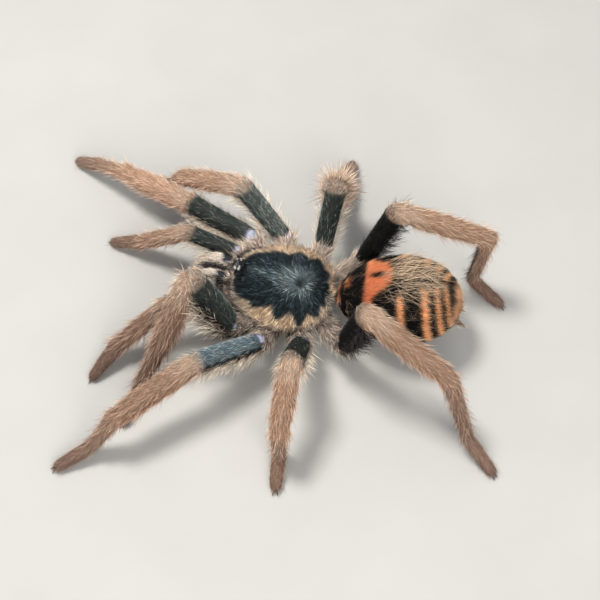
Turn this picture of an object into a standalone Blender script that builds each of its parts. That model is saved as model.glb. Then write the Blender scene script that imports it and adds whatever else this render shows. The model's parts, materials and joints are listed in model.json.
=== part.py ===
"""A life-size tarantula standing on the floor, as a still model made of 59 named solids.

The spider faces -Y and its left side is +X.  The soles of its feet lie on the floor, at Z = 0, and
the origin is the middle of its footprint.  The solids reach out to the tips of the short coat.
Each limb is modelled whole, as a tube along its bent centre line, and parted at its joints by thin
cuts.
"""

import math
from dataclasses import dataclass

import bmesh
import bpy
from mathutils import Matrix, Quaternion, Vector

MM = 0.001
UP = Vector((0, 0, 1))

# ---- driving dimensions -------------------------------------------------------------------------
CUT = 0.3 * MM  # width of the thin cut between two neighbours

CARAPACE_LENGTH = 16.0 * MM
CARAPACE_WIDTH = 15.1 * MM
CARAPACE_Y = -1.05 * MM  # its middle; x = y = 0 is the middle of the sternum
CARAPACE_FLOOR = 7.2 * MM  # height of the carapace's underside over the floor
CARAPACE_RIM = 0.6 * MM  # thickness of its rim
CARAPACE_DOME = 2.6 * MM  # rise of the dome over the rim
HEAD_RISE = 0.95 * MM  # extra rise of the head region, in front
HEAD_Y = -5.6 * MM  # the middle of the head region
FRONT_YAW = math.radians(-5)  # carapace, eyes and jaws are turned a little to the right
FOVEA_Y = 2.3 * MM  # the pit in the middle of the back
FOVEA_DEPTH = 0.45 * MM

HIP_HEIGHT = 5.35 * MM  # centre line of the coxae, under the carapace
HIP_RADIUS = 0.95 * MM  # radius of a coxa at the sternum
HIP_BULGE = 1.1  # how much stouter a coxa is than its trochanter
HIP_TALLNESS = 0.9  # height over width of a coxa
TROCHANTER_REACH = 1.9 * MM  # from the trochanter's bend to the start of the femur
STERNUM_LENGTH = 7.4 * MM
STERNUM_WIDTH = 5.4 * MM
STERNUM_FLOOR = 4.3 * MM
STERNUM_TOP = 6.9 * MM
STERNUM_SIDES = 20

PEDICEL_RADIUS = 0.7 * MM
PEDICEL_RISE = 0.4 * MM  # how far its start lies over the coxae's centre line
PEDICEL_END = Vector((-0.1, 7.3, 6.05)) * MM
PEDICEL_SIDES = 10
ABDOMEN_LENGTH = 19.2 * MM
ABDOMEN_WIDTH = 14.3 * MM
ABDOMEN_HEIGHT = 12.2 * MM
ABDOMEN_CENTRE = Vector((-0.6, 16.8, 8.5)) * MM
ABDOMEN_YAW = math.radians(5)  # the tail end swings to the right
ABDOMEN_TILT = math.radians(3)  # and is carried a little higher than the front

JAW_WIDTH = 2.85 * MM
JAW_HEIGHT = 3.9 * MM
# A chelicera's centre line: distance in front of the carapace, height (mm), and share of full girth.
JAW_SHAPE = (
    (0.3, 7.5, 0.92),
    (1.2, 7.7, 1.0),
    (2.8, 7.5, 1.0),
    (4.4, 6.8, 0.94),
    (5.5, 6.0, 0.76),
    (6.0, 5.4, 0.4),
)
# A fang's centre line, backwards and up from the tip of its chelicera, and its radius (mm).
FANG_SHAPE = ((0.0, -1.25, 0.42), (0.9, -1.95, 0.42), (2.0, -2.25, 0.36), (3.0, -2.15, 0.27))
EYE_MOUND_SIZE = Vector((2.5, 2.0, 0.75)) * MM
EYE_MOUND_CENTRE = Vector((0, -7.55, 10.4)) * MM  # the middle of its underside
# The eyes of one side: place across and along the mound, in shares of its half size, and radius.
EYES = ((0.27, -0.25, 0.26), (0.72, -0.55, 0.24), (0.80, 0.12, 0.19), (0.50, 0.18, 0.13))
MOUND_SIDES = 12
MOUND_RINGS = ((0.96, 0.0), (0.97, 1.0), (0.82, 1.0), (0.55, 1.0), (0.22, 1.0))  # spread and rise

SOLE_HEIGHT = 0.65 * MM  # centre line at the tip of a foot
SOLE_SNAP = 0.14 * MM  # whatever is lower than this on a foot is pressed flat on the floor


COXA_RINGS = (0.25, 0.5, 0.8)  # shares of the way along
TROCHANTER_RINGS = (0.1, 0.5)
TIP_RINGS = ((0.0, 1.0), (0.45, 0.82), (0.75, 0.45))  # in a foot's radius: place past its end, size


# ---- the limbs ----------------------------------------------------------------------------------
@dataclass(frozen=True)
class Segment:
    """A stretch of a limb: length, radius near, in the middle and far, and height over width."""

    name: str
    length: float
    radii: tuple
    tallness: float


@dataclass(frozen=True)
class Limb:
    """A limb's build, the same on both sides: the start of its femur, where its coxa meets the
    sternum (degrees forward of sideways), and its free segments."""

    root: Vector
    hip_angle: float
    segments: tuple


def leg(root, hip_angle, femur, tibia, metatarsus, tarsus, stoutness=1.0, femur_depth=1.22):
    """A leg from the lengths of its segments, in mm; the patella and the tibia are one stretch."""
    girths = (
        ("femur", femur, (1.45, 1.65, 1.60), femur_depth),
        ("tibia", tibia, (1.75, 1.90, 1.60), 1.08),
        ("metatarsus", metatarsus, (1.50, 1.32, 1.22), 1.0),
        ("tarsus", tarsus, (1.25, 1.20, 1.05), 0.95),
    )
    segments = []
    for name, length, radii, tallness in girths:
        stout = tuple(radius * stoutness * MM for radius in radii)
        segments.append(Segment(name, length * MM, stout, tallness))
    return Limb(Vector(root) * MM, hip_angle, tuple(segments))


LIMBS = {
    "leg_1": leg((8.0, -7.2, 7.0), 35, 11.8, 13.8, 6.8, 5.6, stoutness=1.04, femur_depth=1.42),
    "leg_2": leg((9.5, -2.4, 6.4), 8, 10.9, 13.6, 7.0, 5.6),
    "leg_3": leg((8.8, 3.8, 6.6), -24, 9.6, 9.8, 7.3, 4.6),
    "leg_4": leg((7.4, 10.2, 6.5), -58, 12.1, 14.4, 11.5, 5.8, stoutness=0.97),
    "palp": Limb(
        Vector((5.3, -9.1, 6.7)) * MM,
        73,
        (
            Segment("femur", 8.0 * MM, (1.20 * MM, 1.40 * MM, 1.35 * MM), 1.15),
            Segment("tibia", 11.0 * MM, (1.45 * MM, 1.55 * MM, 1.40 * MM), 1.05),
            Segment("tarsus", 5.6 * MM, (1.35 * MM, 1.25 * MM, 0.95 * MM), 0.95),
        ),
    ),
}

# The pose, in degrees: (heading, pitch) for each segment but the last, then the tarsus's heading.
# Heading 0 points straight out sideways and 90 straight ahead; pitch is up from level.  A tarsus
# slopes down to its sole, so its pitch follows from the rest.
POSES = {
    ("leg_1", "right"): ((68, 1), (67, -7), (66, -20), 67),
    ("leg_2", "right"): ((67, 45), (67, -28), (66, -52), 65),
    ("leg_3", "right"): ((-8, 50), (0, -60), (-2, -19), -4),
    ("leg_4", "right"): ((-62, 66), (-88, -15), (95, -86), -118),
    ("palp", "right"): ((87, 19), (84, -35), 84),
    ("leg_1", "left"): ((91, 64), (46, -63), (20, -31), 12),
    ("leg_2", "left"): ((48, 19), (45, -10), (53, -50), 52),
    ("leg_3", "left"): ((2, 45), (0, -29), (-2, -88), -5),
    ("leg_4", "left"): ((-62, 75), (-69, -21), (-49, -60), -51),
    ("palp", "left"): ((80, 12), (51, -31), 30),
}
SIDES = {"left": 1, "right": -1}
LIMB_SIDES = 10  # facets round a limb
SHARP_BEND = math.radians(18)  # half of a turn that gets an extra ring

# ---- materials ----------------------------------------------------------------------------------
COLOURS = {
    "carapace_coat": ((0.025, 0.035, 0.033), 0.55),
    "abdomen_coat": ((0.42, 0.13, 0.04), 0.8),
    "dark_coat": ((0.018, 0.026, 0.026), 0.6),
    "tan_coat": ((0.42, 0.23, 0.14), 0.8),
    "hip_coat": ((0.36, 0.22, 0.16), 0.8),
    "jaw_coat": ((0.40, 0.29, 0.20), 0.75),
    "skin": ((0.10, 0.065, 0.05), 0.7),
    "fang": ((0.02, 0.012, 0.010), 0.15),
    "eye": ((0.010, 0.009, 0.010), 0.08),
}
SEGMENT_COAT = {
    "coxa": "hip_coat",
    "femur": "dark_coat",
    "tibia": "tan_coat",
    "metatarsus": "tan_coat",
    "tarsus": "tan_coat",
}


def finish(name):
    """The Principled material of this name, made on first use."""
    if name in bpy.data.materials:
        return bpy.data.materials[name]
    colour, roughness = COLOURS[name]
    material = bpy.data.materials.new(name)
    material.use_nodes = True
    shader = material.node_tree.nodes["Principled BSDF"]
    shader.inputs["Base Color"].default_value = (*colour, 1)
    shader.inputs["Roughness"].default_value = roughness
    return material


# ---- making meshes ------------------------------------------------------------------------------
def add_object(name, bm, coat):
    """Turn a bmesh into a smooth-shaded object with its own finish."""
    bmesh.ops.recalc_face_normals(bm, faces=bm.faces)
    mesh = bpy.data.meshes.new(name)
    bm.to_mesh(mesh)
    bm.free()
    mesh.shade_smooth()
    mesh.set_sharp_from_angle(angle=math.radians(50))
    mesh.materials.append(finish(coat))
    piece = bpy.data.objects.new(name, mesh)
    bpy.context.scene.collection.objects.link(piece)
    return piece


def skin_rings(rings):
    """A closed body over rings of points, each with the same number, with a flat cap at each end."""
    bm = bmesh.new()
    loops = [[bm.verts.new(point) for point in ring] for ring in rings]
    for one, two in zip(loops, loops[1:]):
        for k in range(len(one)):
            j = (k + 1) % len(one)
            bm.faces.new((one[k], one[j], two[j], two[k]))
    bm.faces.new(reversed(loops[0]))
    bm.faces.new(loops[-1])
    return bm


def oval(centre, across, above, width, height, sides):
    """Points round an oval with a flat facet, not a corner, at its top and bottom."""
    angles = [2 * math.pi * (k + 0.5) / sides + math.pi / 2 for k in range(sides)]
    return [centre + across * (width * math.cos(a)) + above * (height * math.sin(a)) for a in angles]


def direction(side, heading, pitch):
    """The unit vector of a limb's stretch; side is 1 on the left and -1 on the right."""
    h = math.radians(heading)
    p = math.radians(pitch)
    return Vector((side * math.cos(h) * math.cos(p), -math.sin(h) * math.cos(p), math.sin(p)))


def blend(radii, t):
    """The parabola through a segment's near, middle and far radius, at a share t of its length."""
    near, middle, far = radii
    return near * (1 - t) * (1 - 2 * t) + middle * 4 * t * (1 - t) + far * t * (2 * t - 1)


@dataclass
class Bend:
    """A joint of a limb: its centre, the cut's normal, the axis and half the angle of its turn."""

    centre: Vector
    normal: Vector
    axis: Vector
    half_turn: float

    @property
    def inward(self):
        """The unit vector in the plane of the cut that points to the inner side of the bend."""
        return self.axis.cross(self.normal)


def straight_end(centre, way):
    """The free end of a limb, as a bend that doesn't turn."""
    return Bend(centre, way, way.orthogonal().normalized(), 0.0)


def bend_between(centre, before, after):
    """The bend where a limb turns from one direction to the next."""
    axis = before.cross(after)
    if axis.length < 1e-6:
        axis = before.orthogonal()
    return Bend(centre, (before + after).normalized(), axis.normalized(), before.angle(after) / 2)


class Tube:
    """A limb's bent tube.  Its outer side rounds each bend and its inner side is mitred there."""

    def __init__(self, points):
        self.points = points
        self.ways = [(b - a).normalized() for a, b in zip(points, points[1:])]
        self.bends = [straight_end(points[0], self.ways[0])]
        for k in range(1, len(points) - 1):
            self.bends.append(bend_between(points[k], self.ways[k - 1], self.ways[k]))
        self.bends.append(straight_end(points[-1], self.ways[-1]))
        first = self.ways[0]
        self.above = [(UP - first * UP.dot(first)).normalized()]
        for bend in self.bends[1:-1]:
            self.above.append(Quaternion(bend.axis, 2 * bend.half_turn) @ self.above[-1])

    def offsets(self, k, width, height):
        """The offsets of an oval's points from the centre line of segment k."""
        across = self.ways[k].cross(self.above[k])
        return oval(Vector((0, 0, 0)), across, self.above[k], width, height, LIMB_SIDES)

    def ring(self, k, share, radii, tallness):
        """A ring on segment k at a share of its length, leaning away from its bends' inner sides."""
        start, end = self.bends[k], self.bends[k + 1]
        length = (end.centre - start.centre).length
        radius = blend(radii, share)
        ring = []
        for offset in self.offsets(k, radius, radius * tallness):
            along = share * length
            for bend, sign, distance in ((start, 1, along), (end, -1, length - along)):
                inner = Quaternion(bend.axis, sign * bend.half_turn) @ bend.inward
                lean = max(offset.dot(inner), 0) * math.tan(bend.half_turn)
                fade = max(1 - distance / (2.2 * radius * tallness * math.tan(bend.half_turn) + CUT), 0)
                along += sign * lean * fade
            ring.append(start.centre + self.ways[k] * along + offset)
        return ring

    def bend_rings(self, k, far, radius, tallness, gap):
        """The rings that carry segment k round half of a bend; the flat one on the cut is first."""
        bend = self.bends[k + 1] if far else self.bends[k]
        sign = -1 if far else 1
        inner = Quaternion(bend.axis, sign * bend.half_turn) @ bend.inward
        centre = bend.centre + bend.normal * (sign * gap)
        rings = []
        for share in (0, 1) if bend.half_turn < SHARP_BEND else (0, 0.5, 1):
            outer = Quaternion(bend.axis, sign * share * bend.half_turn) @ bend.inward
            ring = []
            for offset in self.offsets(k, radius, radius * tallness):
                depth = offset.dot(inner)
                sideways = centre + offset - inner * depth
                if depth < 0:
                    ring.append(sideways + outer * depth)
                else:
                    along = depth * math.tan(bend.half_turn) + share * radius * 0.25
                    ring.append(sideways + inner * depth + self.ways[k] * (sign * along))
            rings.append(ring)
        return rings


# ---- limbs --------------------------------------------------------------------------------------
RING_SHARES = (0.2, 0.5, 0.82)  # where a segment's rings stand along it


def hip_start(side, angle):
    """Where a coxa meets the sternum's edge."""
    a = math.radians(angle)
    reach = HIP_RADIUS + CUT
    x = (STERNUM_WIDTH / 2 + reach) * math.cos(a)
    y = -(STERNUM_LENGTH / 2 + reach) * math.sin(a)
    return Vector((side * x, y, HIP_HEIGHT))


def limb_points(limb, side, pose):
    """The limb's joints from the sternum to the tip of the foot."""
    root = Vector((side * limb.root.x, limb.root.y, limb.root.z))
    start = hip_start(side, limb.hip_angle)
    inward = (start - root) * Vector((1, 1, 0))
    bend = root + inward.normalized() * TROCHANTER_REACH
    bend.z = HIP_HEIGHT + 0.2 * (root.z - HIP_HEIGHT)
    points = [start, bend, root]
    for segment, (heading, pitch) in zip(limb.segments, pose[:-1]):
        points.append(points[-1] + direction(side, heading, pitch) * segment.length)
    foot = limb.segments[-1]
    drop = math.degrees(math.asin((points[-1].z - SOLE_HEIGHT) / foot.length))
    points.append(points[-1] + direction(side, pose[-1], -drop) * foot.length)
    return points


def foot_end(tube, foot):
    """The rings that round off the tip of a foot."""
    last = len(tube.ways) - 1
    tip = tube.points[-1]
    radius = foot.radii[-1]
    rings = []
    for along, share in TIP_RINGS:
        centre = tip + tube.ways[last] * (along * radius) - tube.above[last] * (along * 0.25 * radius)
        across = tube.ways[last].cross(tube.above[last])
        height = radius * share * foot.tallness
        rings.append(oval(centre, across, tube.above[last], radius * share, height, LIMB_SIDES))
    return rings


def press_flat(bm):
    """Lay whatever is lowest on a foot flat on the floor."""
    for vert in bm.verts:
        if vert.co.z < SOLE_SNAP:
            vert.co.z = 0


def build_limb(kind, side_name):
    """One limb: its coxa and each free segment as a node of its own."""
    limb = LIMBS[kind]
    side = SIDES[side_name]
    tube = Tube(limb_points(limb, side, POSES[kind, side_name]))
    trochanter_radius = limb.segments[0].radii[0]
    hip_radii = (HIP_RADIUS, trochanter_radius * HIP_BULGE, trochanter_radius)

    rings = tube.bend_rings(0, False, HIP_RADIUS, 1.0, 0)[:1]
    rings += [tube.ring(0, share, hip_radii, HIP_TALLNESS) for share in COXA_RINGS]
    rings += [tube.ring(1, share, (trochanter_radius,) * 3, 1.0) for share in TROCHANTER_RINGS]
    rings += reversed(tube.bend_rings(1, True, trochanter_radius, 1.0, CUT / 2))
    add_object(f"{kind}_{side_name}_coxa", skin_rings(rings), SEGMENT_COAT["coxa"])

    for k, segment in enumerate(limb.segments):
        before = limb.segments[k - 1] if k else None
        after = limb.segments[k + 1] if k + 1 < len(limb.segments) else None
        near = (before.radii[-1] + segment.radii[0]) / 2 if before else trochanter_radius
        rings = tube.bend_rings(k + 2, False, near, segment.tallness, CUT / 2)
        rings += [tube.ring(k + 2, t, segment.radii, segment.tallness) for t in RING_SHARES]
        if after:
            far = (segment.radii[-1] + after.radii[0]) / 2
            rings += reversed(tube.bend_rings(k + 2, True, far, segment.tallness, CUT / 2))
        else:
            rings += foot_end(tube, segment)
        bm = skin_rings(rings)
        if not after:
            press_flat(bm)
        add_object(f"{kind}_{side_name}_{segment.name}", bm, SEGMENT_COAT[segment.name])


# ---- the body -----------------------------------------------------------------------------------
# Half of the carapace's edge as (x, y), in shares of half its width and half its length, from the
# middle of the front round the left to the middle of the back.
CARAPACE_EDGE = (
    (0.0, -1.0),
    (0.32, -1.0),
    (0.56, -0.88),
    (0.78, -0.55),
    (0.95, -0.18),
    (1.0, 0.16),
    (0.92, 0.50),
    (0.70, 0.80),
    (0.38, 0.99),
    (0.0, 0.96),
)
EDGE_STEPS = 2  # points on the edge for each named one
CARAPACE_RINGS = (1.0, 0.93, 0.78, 0.58, 0.38, 0.18)


def smooth_between(p0, p1, p2, p3, t):
    """A point at t on the Catmull-Rom curve from p1 to p2."""
    a = 2 * p1
    b = p2 - p0
    c = 2 * p0 - 5 * p1 + 4 * p2 - p3
    d = -p0 + 3 * p1 - 3 * p2 + p3
    return (a + b * t + c * t * t + d * t * t * t) / 2


def carapace_edge():
    """The whole edge as a closed list of (x, y) points."""
    scale = Vector((CARAPACE_WIDTH / 2, CARAPACE_LENGTH / 2))
    half = [Vector(point) * scale for point in CARAPACE_EDGE]
    whole = half + [Vector((-p.x, p.y)) for p in reversed(half[1:-1])]
    count = len(whole)
    edge = []
    for k in range(count):
        near = [whole[(k + step) % count] for step in (-1, 0, 1, 2)]
        edge += [smooth_between(*near, step / EDGE_STEPS) for step in range(EDGE_STEPS)]
    return [point + Vector((0, CARAPACE_Y)) for point in edge]


def carapace_height(x, y, share):
    """Height of the carapace's upper side; share runs from 0 in the middle to 1 at the edge."""
    dome = CARAPACE_DOME * (1 - share**2.4)
    head = HEAD_RISE * math.exp(-((x / (3.2 * MM)) ** 2) - ((y - HEAD_Y) / (2.8 * MM)) ** 2)
    pit = FOVEA_DEPTH * math.exp(-((x / (1.3 * MM)) ** 2) - ((y - FOVEA_Y) / (1.0 * MM)) ** 2)
    return CARAPACE_FLOOR + CARAPACE_RIM + dome + head - pit


def build_carapace():
    """The carapace: a low dome over a flat underside."""
    edge = carapace_edge()
    middle = Vector((0, FOVEA_Y / 2))
    rings = [[Vector((*p, CARAPACE_FLOOR)) for p in (middle.lerp(q, 0.94) for q in edge)]]
    for share in CARAPACE_RINGS:
        flat = [middle.lerp(q, share) for q in edge]
        rings.append([Vector((p.x, p.y, carapace_height(p.x, p.y, share))) for p in flat])
    add_object("carapace", skin_rings(rings), "carapace_coat")


def mound_point(across, along, lift=1.0):
    """A point on the eye mound, at shares of its half width and half length from its middle."""
    half = EYE_MOUND_SIZE / 2
    rise = math.sqrt(max(1 - across * across - along * along, 0)) * lift
    return EYE_MOUND_CENTRE + Vector((across * half.x, along * half.y, rise * EYE_MOUND_SIZE.z))


def build_eye_mound():
    """The low mound over the front edge, with its eight eyes joined to it."""
    rings = []
    for share, lift in MOUND_RINGS:
        angles = [2 * math.pi * k / MOUND_SIDES for k in range(MOUND_SIDES)]
        rings.append([mound_point(share * math.cos(a), share * math.sin(a), lift) for a in angles])
    mound = add_object("eye_mound", skin_rings(rings), "eye")

    bm = bmesh.new()
    for across, along, radius in EYES:
        for side in SIDES.values():
            place = Matrix.Translation(mound_point(side * across, along, 0.97))
            bmesh.ops.create_uvsphere(bm, u_segments=7, v_segments=4, radius=radius * MM, matrix=place)
    eyes = add_object("eye_cutter", bm, "eye")
    eyes.hide_render = True
    eyes.display_type = "WIRE"
    union = mound.modifiers.new("eyes", "BOOLEAN")
    union.operation = "UNION"
    union.solver = "EXACT"
    union.object = eyes


def jaw_path(axis):
    """A chelicera's centre line and its girth along it: out of the carapace's front, then down."""
    front = CARAPACE_Y - CARAPACE_LENGTH / 2
    return [(Vector((axis, front - out * MM, z * MM)), share) for out, z, share in JAW_SHAPE]


def build_jaws():
    """The two chelicerae, side by side in front, each with its fang folded under it."""
    for side_name, side in SIDES.items():
        axis = side * (JAW_WIDTH + CUT) / 2
        across = Vector((1, 0, 0))
        rings = []
        path = jaw_path(axis)
        for centre, share in path:
            rings.append(oval(centre, across, UP, share * JAW_WIDTH / 2, share * JAW_HEIGHT / 2, 12))
        add_object(f"chelicera_{side_name}", skin_rings(rings), "jaw_coat")

        tip = path[-1][0]
        points = [(tip + Vector((0, back, up)) * MM, radius * MM) for back, up, radius in FANG_SHAPE]
        rings = []
        for k, (centre, radius) in enumerate(points):
            way = (points[min(k + 1, 3)][0] - points[max(k - 1, 0)][0]).normalized()
            rings.append(oval(centre, across, across.cross(way), radius, radius, 8))
        add_object(f"fang_{side_name}", skin_rings(rings), "fang")


def build_sternum():
    """The block between the coxae, with the sternum as its underside."""
    rings = []
    for z, share in ((STERNUM_FLOOR, 0.86), (STERNUM_FLOOR + 0.5 * MM, 1.0), (STERNUM_TOP, 0.94)):
        ring = []
        for k in range(STERNUM_SIDES):
            a = 2 * math.pi * k / STERNUM_SIDES
            x = share * STERNUM_WIDTH / 2 * math.cos(a)
            y = share * STERNUM_LENGTH / 2 * math.sin(a)
            ring.append(Vector((x, y, z)))
        rings.append(ring)
    add_object("sternum", skin_rings(rings), "skin")


def build_pedicel():
    """The short waist between the sternum's block and the abdomen."""
    across, above = Vector((1, 0, 0)), UP
    start = Vector((0, STERNUM_LENGTH / 2 + CUT, HIP_HEIGHT + PEDICEL_RISE))
    size = (PEDICEL_RADIUS, PEDICEL_RADIUS, PEDICEL_SIDES)
    rings = [oval(centre, across, above, *size) for centre in (start, PEDICEL_END)]
    add_object("pedicel", skin_rings(rings), "skin")


ABDOMEN_RINGS = 12
ABDOMEN_SIDES = 18
ABDOMEN_FULLNESS = 1.15  # over 1: the abdomen is fullest behind its middle
# The spinnerets: their root in shares of the abdomen's length and height, and their own shape.
TAIL_BACK = 0.445
TAIL_BELOW = 0.3
SPINNERET_APART = 0.9 * MM
SPINNERET_LENGTH = 1.7 * MM
SPINNERET_DROP = 1.0 * MM  # how far their tips hang
SPINNERET_RINGS = ((0, 0.55), (0.35, 0.6), (0.7, 0.45), (1, 0.28))  # place and radius in mm
SPINNERET_SIDES = 8


def build_abdomen():
    """The abdomen: an egg, fullest behind its middle, with the spinnerets below its tail end."""
    turn = Matrix.Rotation(ABDOMEN_YAW, 3, "Z") @ Matrix.Rotation(ABDOMEN_TILT, 3, "X")
    way = turn @ Vector((0, 1, 0))
    across = turn @ Vector((1, 0, 0))
    above = turn @ UP
    rings = []
    for k in range(ABDOMEN_RINGS + 1):
        t = (1 - math.cos(math.pi * (k + 0.35) / (ABDOMEN_RINGS + 0.7))) / 2
        warped = t**ABDOMEN_FULLNESS
        share = 2 * math.sqrt(warped * (1 - warped))
        centre = ABDOMEN_CENTRE + way * ((t - 0.5) * ABDOMEN_LENGTH)
        width = share * ABDOMEN_WIDTH / 2
        height = share * ABDOMEN_HEIGHT / 2
        rings.append(oval(centre, across, above, width, height, ABDOMEN_SIDES))
    add_object("abdomen", skin_rings(rings), "abdomen_coat")

    tail = ABDOMEN_CENTRE + way * (TAIL_BACK * ABDOMEN_LENGTH) - above * (TAIL_BELOW * ABDOMEN_HEIGHT)
    for side_name, side in SIDES.items():
        start = tail + across * (side * SPINNERET_APART)
        end = start + way * SPINNERET_LENGTH + across * (side * 0.5 * MM) - above * SPINNERET_DROP
        rings = []
        for t, radius in SPINNERET_RINGS:
            size = (radius * MM, radius * MM, SPINNERET_SIDES)
            rings.append(oval(start.lerp(end, t), across, above, *size))
        add_object(f"spinneret_{side_name}", skin_rings(rings), "skin")


def turn_front():
    """Turn the carapace, the eyes and the jaws over the sternum."""
    turn = Matrix.Rotation(FRONT_YAW, 4, "Z")
    for piece in bpy.data.objects:
        if piece.name.startswith(("carapace", "eye", "chelicera", "fang")):
            piece.data.transform(turn)


def centre_on_footprint():
    """Move everything so that the origin is the middle of the footprint, on the floor."""
    pieces = [piece for piece in bpy.data.objects if piece.type == "MESH"]
    corners = [vert.co for piece in pieces for vert in piece.data.vertices]
    middle = Vector((0, 0, 0))
    for axis in range(2):
        values = [corner[axis] for corner in corners]
        middle[axis] = (min(values) + max(values)) / 2
    for piece in pieces:
        piece.data.transform(Matrix.Translation(-middle))


def main():
    """Clear the scene and build the spider."""
    for piece in list(bpy.data.objects):
        bpy.data.objects.remove(piece, do_unlink=True)
    build_carapace()
    build_eye_mound()
    build_jaws()
    build_sternum()
    build_pedicel()
    build_abdomen()
    for kind in LIMBS:
        for side_name in SIDES:
            build_limb(kind, side_name)
    turn_front()
    centre_on_footprint()


main()
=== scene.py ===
"""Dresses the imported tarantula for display: one skin over its solids, its coat, eyes, fangs and claws.

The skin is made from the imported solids, slimmed by the depth of the coat, and everything that grows
on it is led by a chart: for each point of the skin the part of the body, the place along that part
and the place round it.  Markings, the lie of the coat and its length are functions of that chart.
The coat is made of real strands, set by Geometry Nodes and turned into plain meshes.
"""

from __future__ import annotations

import json
import logging
import math
from collections.abc import Iterable, Iterator, Sequence
from contextlib import contextmanager
from dataclasses import dataclass, field
from enum import Enum

import bmesh
import bpy
import numpy as np
from bmesh.types import BMesh
from bpy.types import ID, Material, Mesh, Node, NodeOutputs, NodeTree, Object
from bpy.types import NodeSocket as Socket
from bpy.types import bpy_prop_collection as Items
from mathutils import Matrix, Vector
from mathutils.bvhtree import BVHTree

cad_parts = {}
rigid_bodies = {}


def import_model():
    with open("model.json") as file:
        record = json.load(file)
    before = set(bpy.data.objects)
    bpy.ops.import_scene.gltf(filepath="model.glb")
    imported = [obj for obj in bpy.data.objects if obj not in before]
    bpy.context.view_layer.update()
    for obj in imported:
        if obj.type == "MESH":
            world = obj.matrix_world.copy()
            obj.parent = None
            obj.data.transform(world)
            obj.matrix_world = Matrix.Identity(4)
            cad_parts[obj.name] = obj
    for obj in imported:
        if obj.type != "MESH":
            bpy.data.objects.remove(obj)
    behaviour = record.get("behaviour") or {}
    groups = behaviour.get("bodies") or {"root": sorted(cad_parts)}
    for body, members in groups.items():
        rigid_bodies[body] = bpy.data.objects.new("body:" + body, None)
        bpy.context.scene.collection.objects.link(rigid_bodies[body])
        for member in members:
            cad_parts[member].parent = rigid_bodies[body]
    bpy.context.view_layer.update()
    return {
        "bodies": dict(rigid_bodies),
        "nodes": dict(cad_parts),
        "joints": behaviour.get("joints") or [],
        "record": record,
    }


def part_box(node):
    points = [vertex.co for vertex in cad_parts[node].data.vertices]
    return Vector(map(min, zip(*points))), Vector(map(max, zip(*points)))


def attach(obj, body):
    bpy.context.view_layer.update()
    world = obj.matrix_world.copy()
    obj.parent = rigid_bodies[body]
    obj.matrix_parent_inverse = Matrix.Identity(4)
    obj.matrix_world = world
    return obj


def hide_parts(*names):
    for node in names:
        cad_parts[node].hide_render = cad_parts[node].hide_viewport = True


LOG = logging.getLogger("tarantula")
Array = np.ndarray

MM = 0.001
BODY = "root"
SIDES = {"left": 1.0, "right": -1.0}
LEG = ("coxa", "femur", "tibia", "metatarsus", "tarsus")
LIMB_PARTS = {**{f"leg_{k}": LEG for k in (1, 2, 3, 4)}, "palp": ("coxa", "femur", "tibia", "tarsus")}
LIMB_NAMES = [f"{kind}_{side}" for kind in LIMB_PARTS for side in SIDES]
PATELLA_SHARE = 0.45  # the knee's share of the solid that holds the patella and the tibia
UV_NAME = "OFBake"
TUFT_PATCH = 0.003  # size of a tuft's patch on the unwrap

FOVEA_SHARE = 0.709  # how far back the fovea lies in the carapace
CARAPACE_FURROWS = (52, 88, 122, 152)  # degrees round the fovea from straight ahead
# Pale patches that reach in from the margin: degrees round the fovea, half width and reach.
MARGIN_PATCHES = ((34, 9, 0.08), (54, 14, 0.21), (86, 13, 0.22), (117, 13, 0.21), (146, 9, 0.1))
ABDOMEN_ROLL = 7.5  # degrees by which the abdomen's markings lean to the right side
# Bands of the abdomen: place, half width, and the degrees from the midline between which they run.
ABDOMEN_BANDS = (
    (0.50, 0.026, 40, 112),
    (0.69, 0.031, 24, 116),
    (0.79, 0.022, 14, 116),
    (0.865, 0.018, 6, 112),
)
# The abdomen's saddle: places along it, and how many degrees it reaches down from the midline there.
SADDLE = ((0.23, 64), (0.28, 62), (0.30, 42), (0.35, 30), (0.40, 25), (0.43, 14), (0.445, 0))
# How much sheen is painted on the backs of the femora, and how brown the shanks are, partly as painted
# shade; the other limbs have OTHER_*.
PAINTED_SHEEN = {"leg_3": 0.15, "leg_2": 0.75, "leg_1_left": 0.3}
OTHER_PAINTED_SHEEN = 0.35
BROWN_AND_SHADE = {"leg_1_left": 0.75, "leg_2_left": 0.6, "leg_3_left": 0.45, "leg_4_left": 0.6}
BROWN_AND_SHADE |= {"leg_2_right": 0.2, "leg_4_right": 0.4, "palp_left": 0.85, "palp_right": 0.4}
OTHER_BROWN_AND_SHADE = 0.1
PALE_HAIRS = 0.45  # how pale the long hairs of the shanks are; limbs painted browner and shaded have darker ones
HIDE_SHADE = 0.55  # painted shade: the share of the coat's tone that the hide under the coat keeps, the rest darkened as the coat's shade


class Part(Enum):
    """The parts of the body that the chart tells apart."""

    CARAPACE = 0
    STERNUM = 1
    PEDICEL = 2
    ABDOMEN = 3
    SPINNERET = 4
    JAW = 5
    MOUND = 6
    HIP = 7
    FEMUR = 8
    PATELLA = 9
    TIBIA = 10
    METATARSUS = 11
    TARSUS = 12


SHANK = (Part.PATELLA, Part.TIBIA, Part.METATARSUS, Part.TARSUS)
PART_OF_WORD = {part.name.lower(): part for part in Part}
PART_OF_WORD |= {"chelicera": Part.JAW, "eye": Part.MOUND, "coxa": Part.HIP}


@dataclass(frozen=True)
class Nap:
    """The short coat of a part."""

    depth: float  # mm by which the skin lies inside the solid, whose faces reach to the coat's tips
    length: float  # mm
    lift: float  # degrees away from the skin


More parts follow.
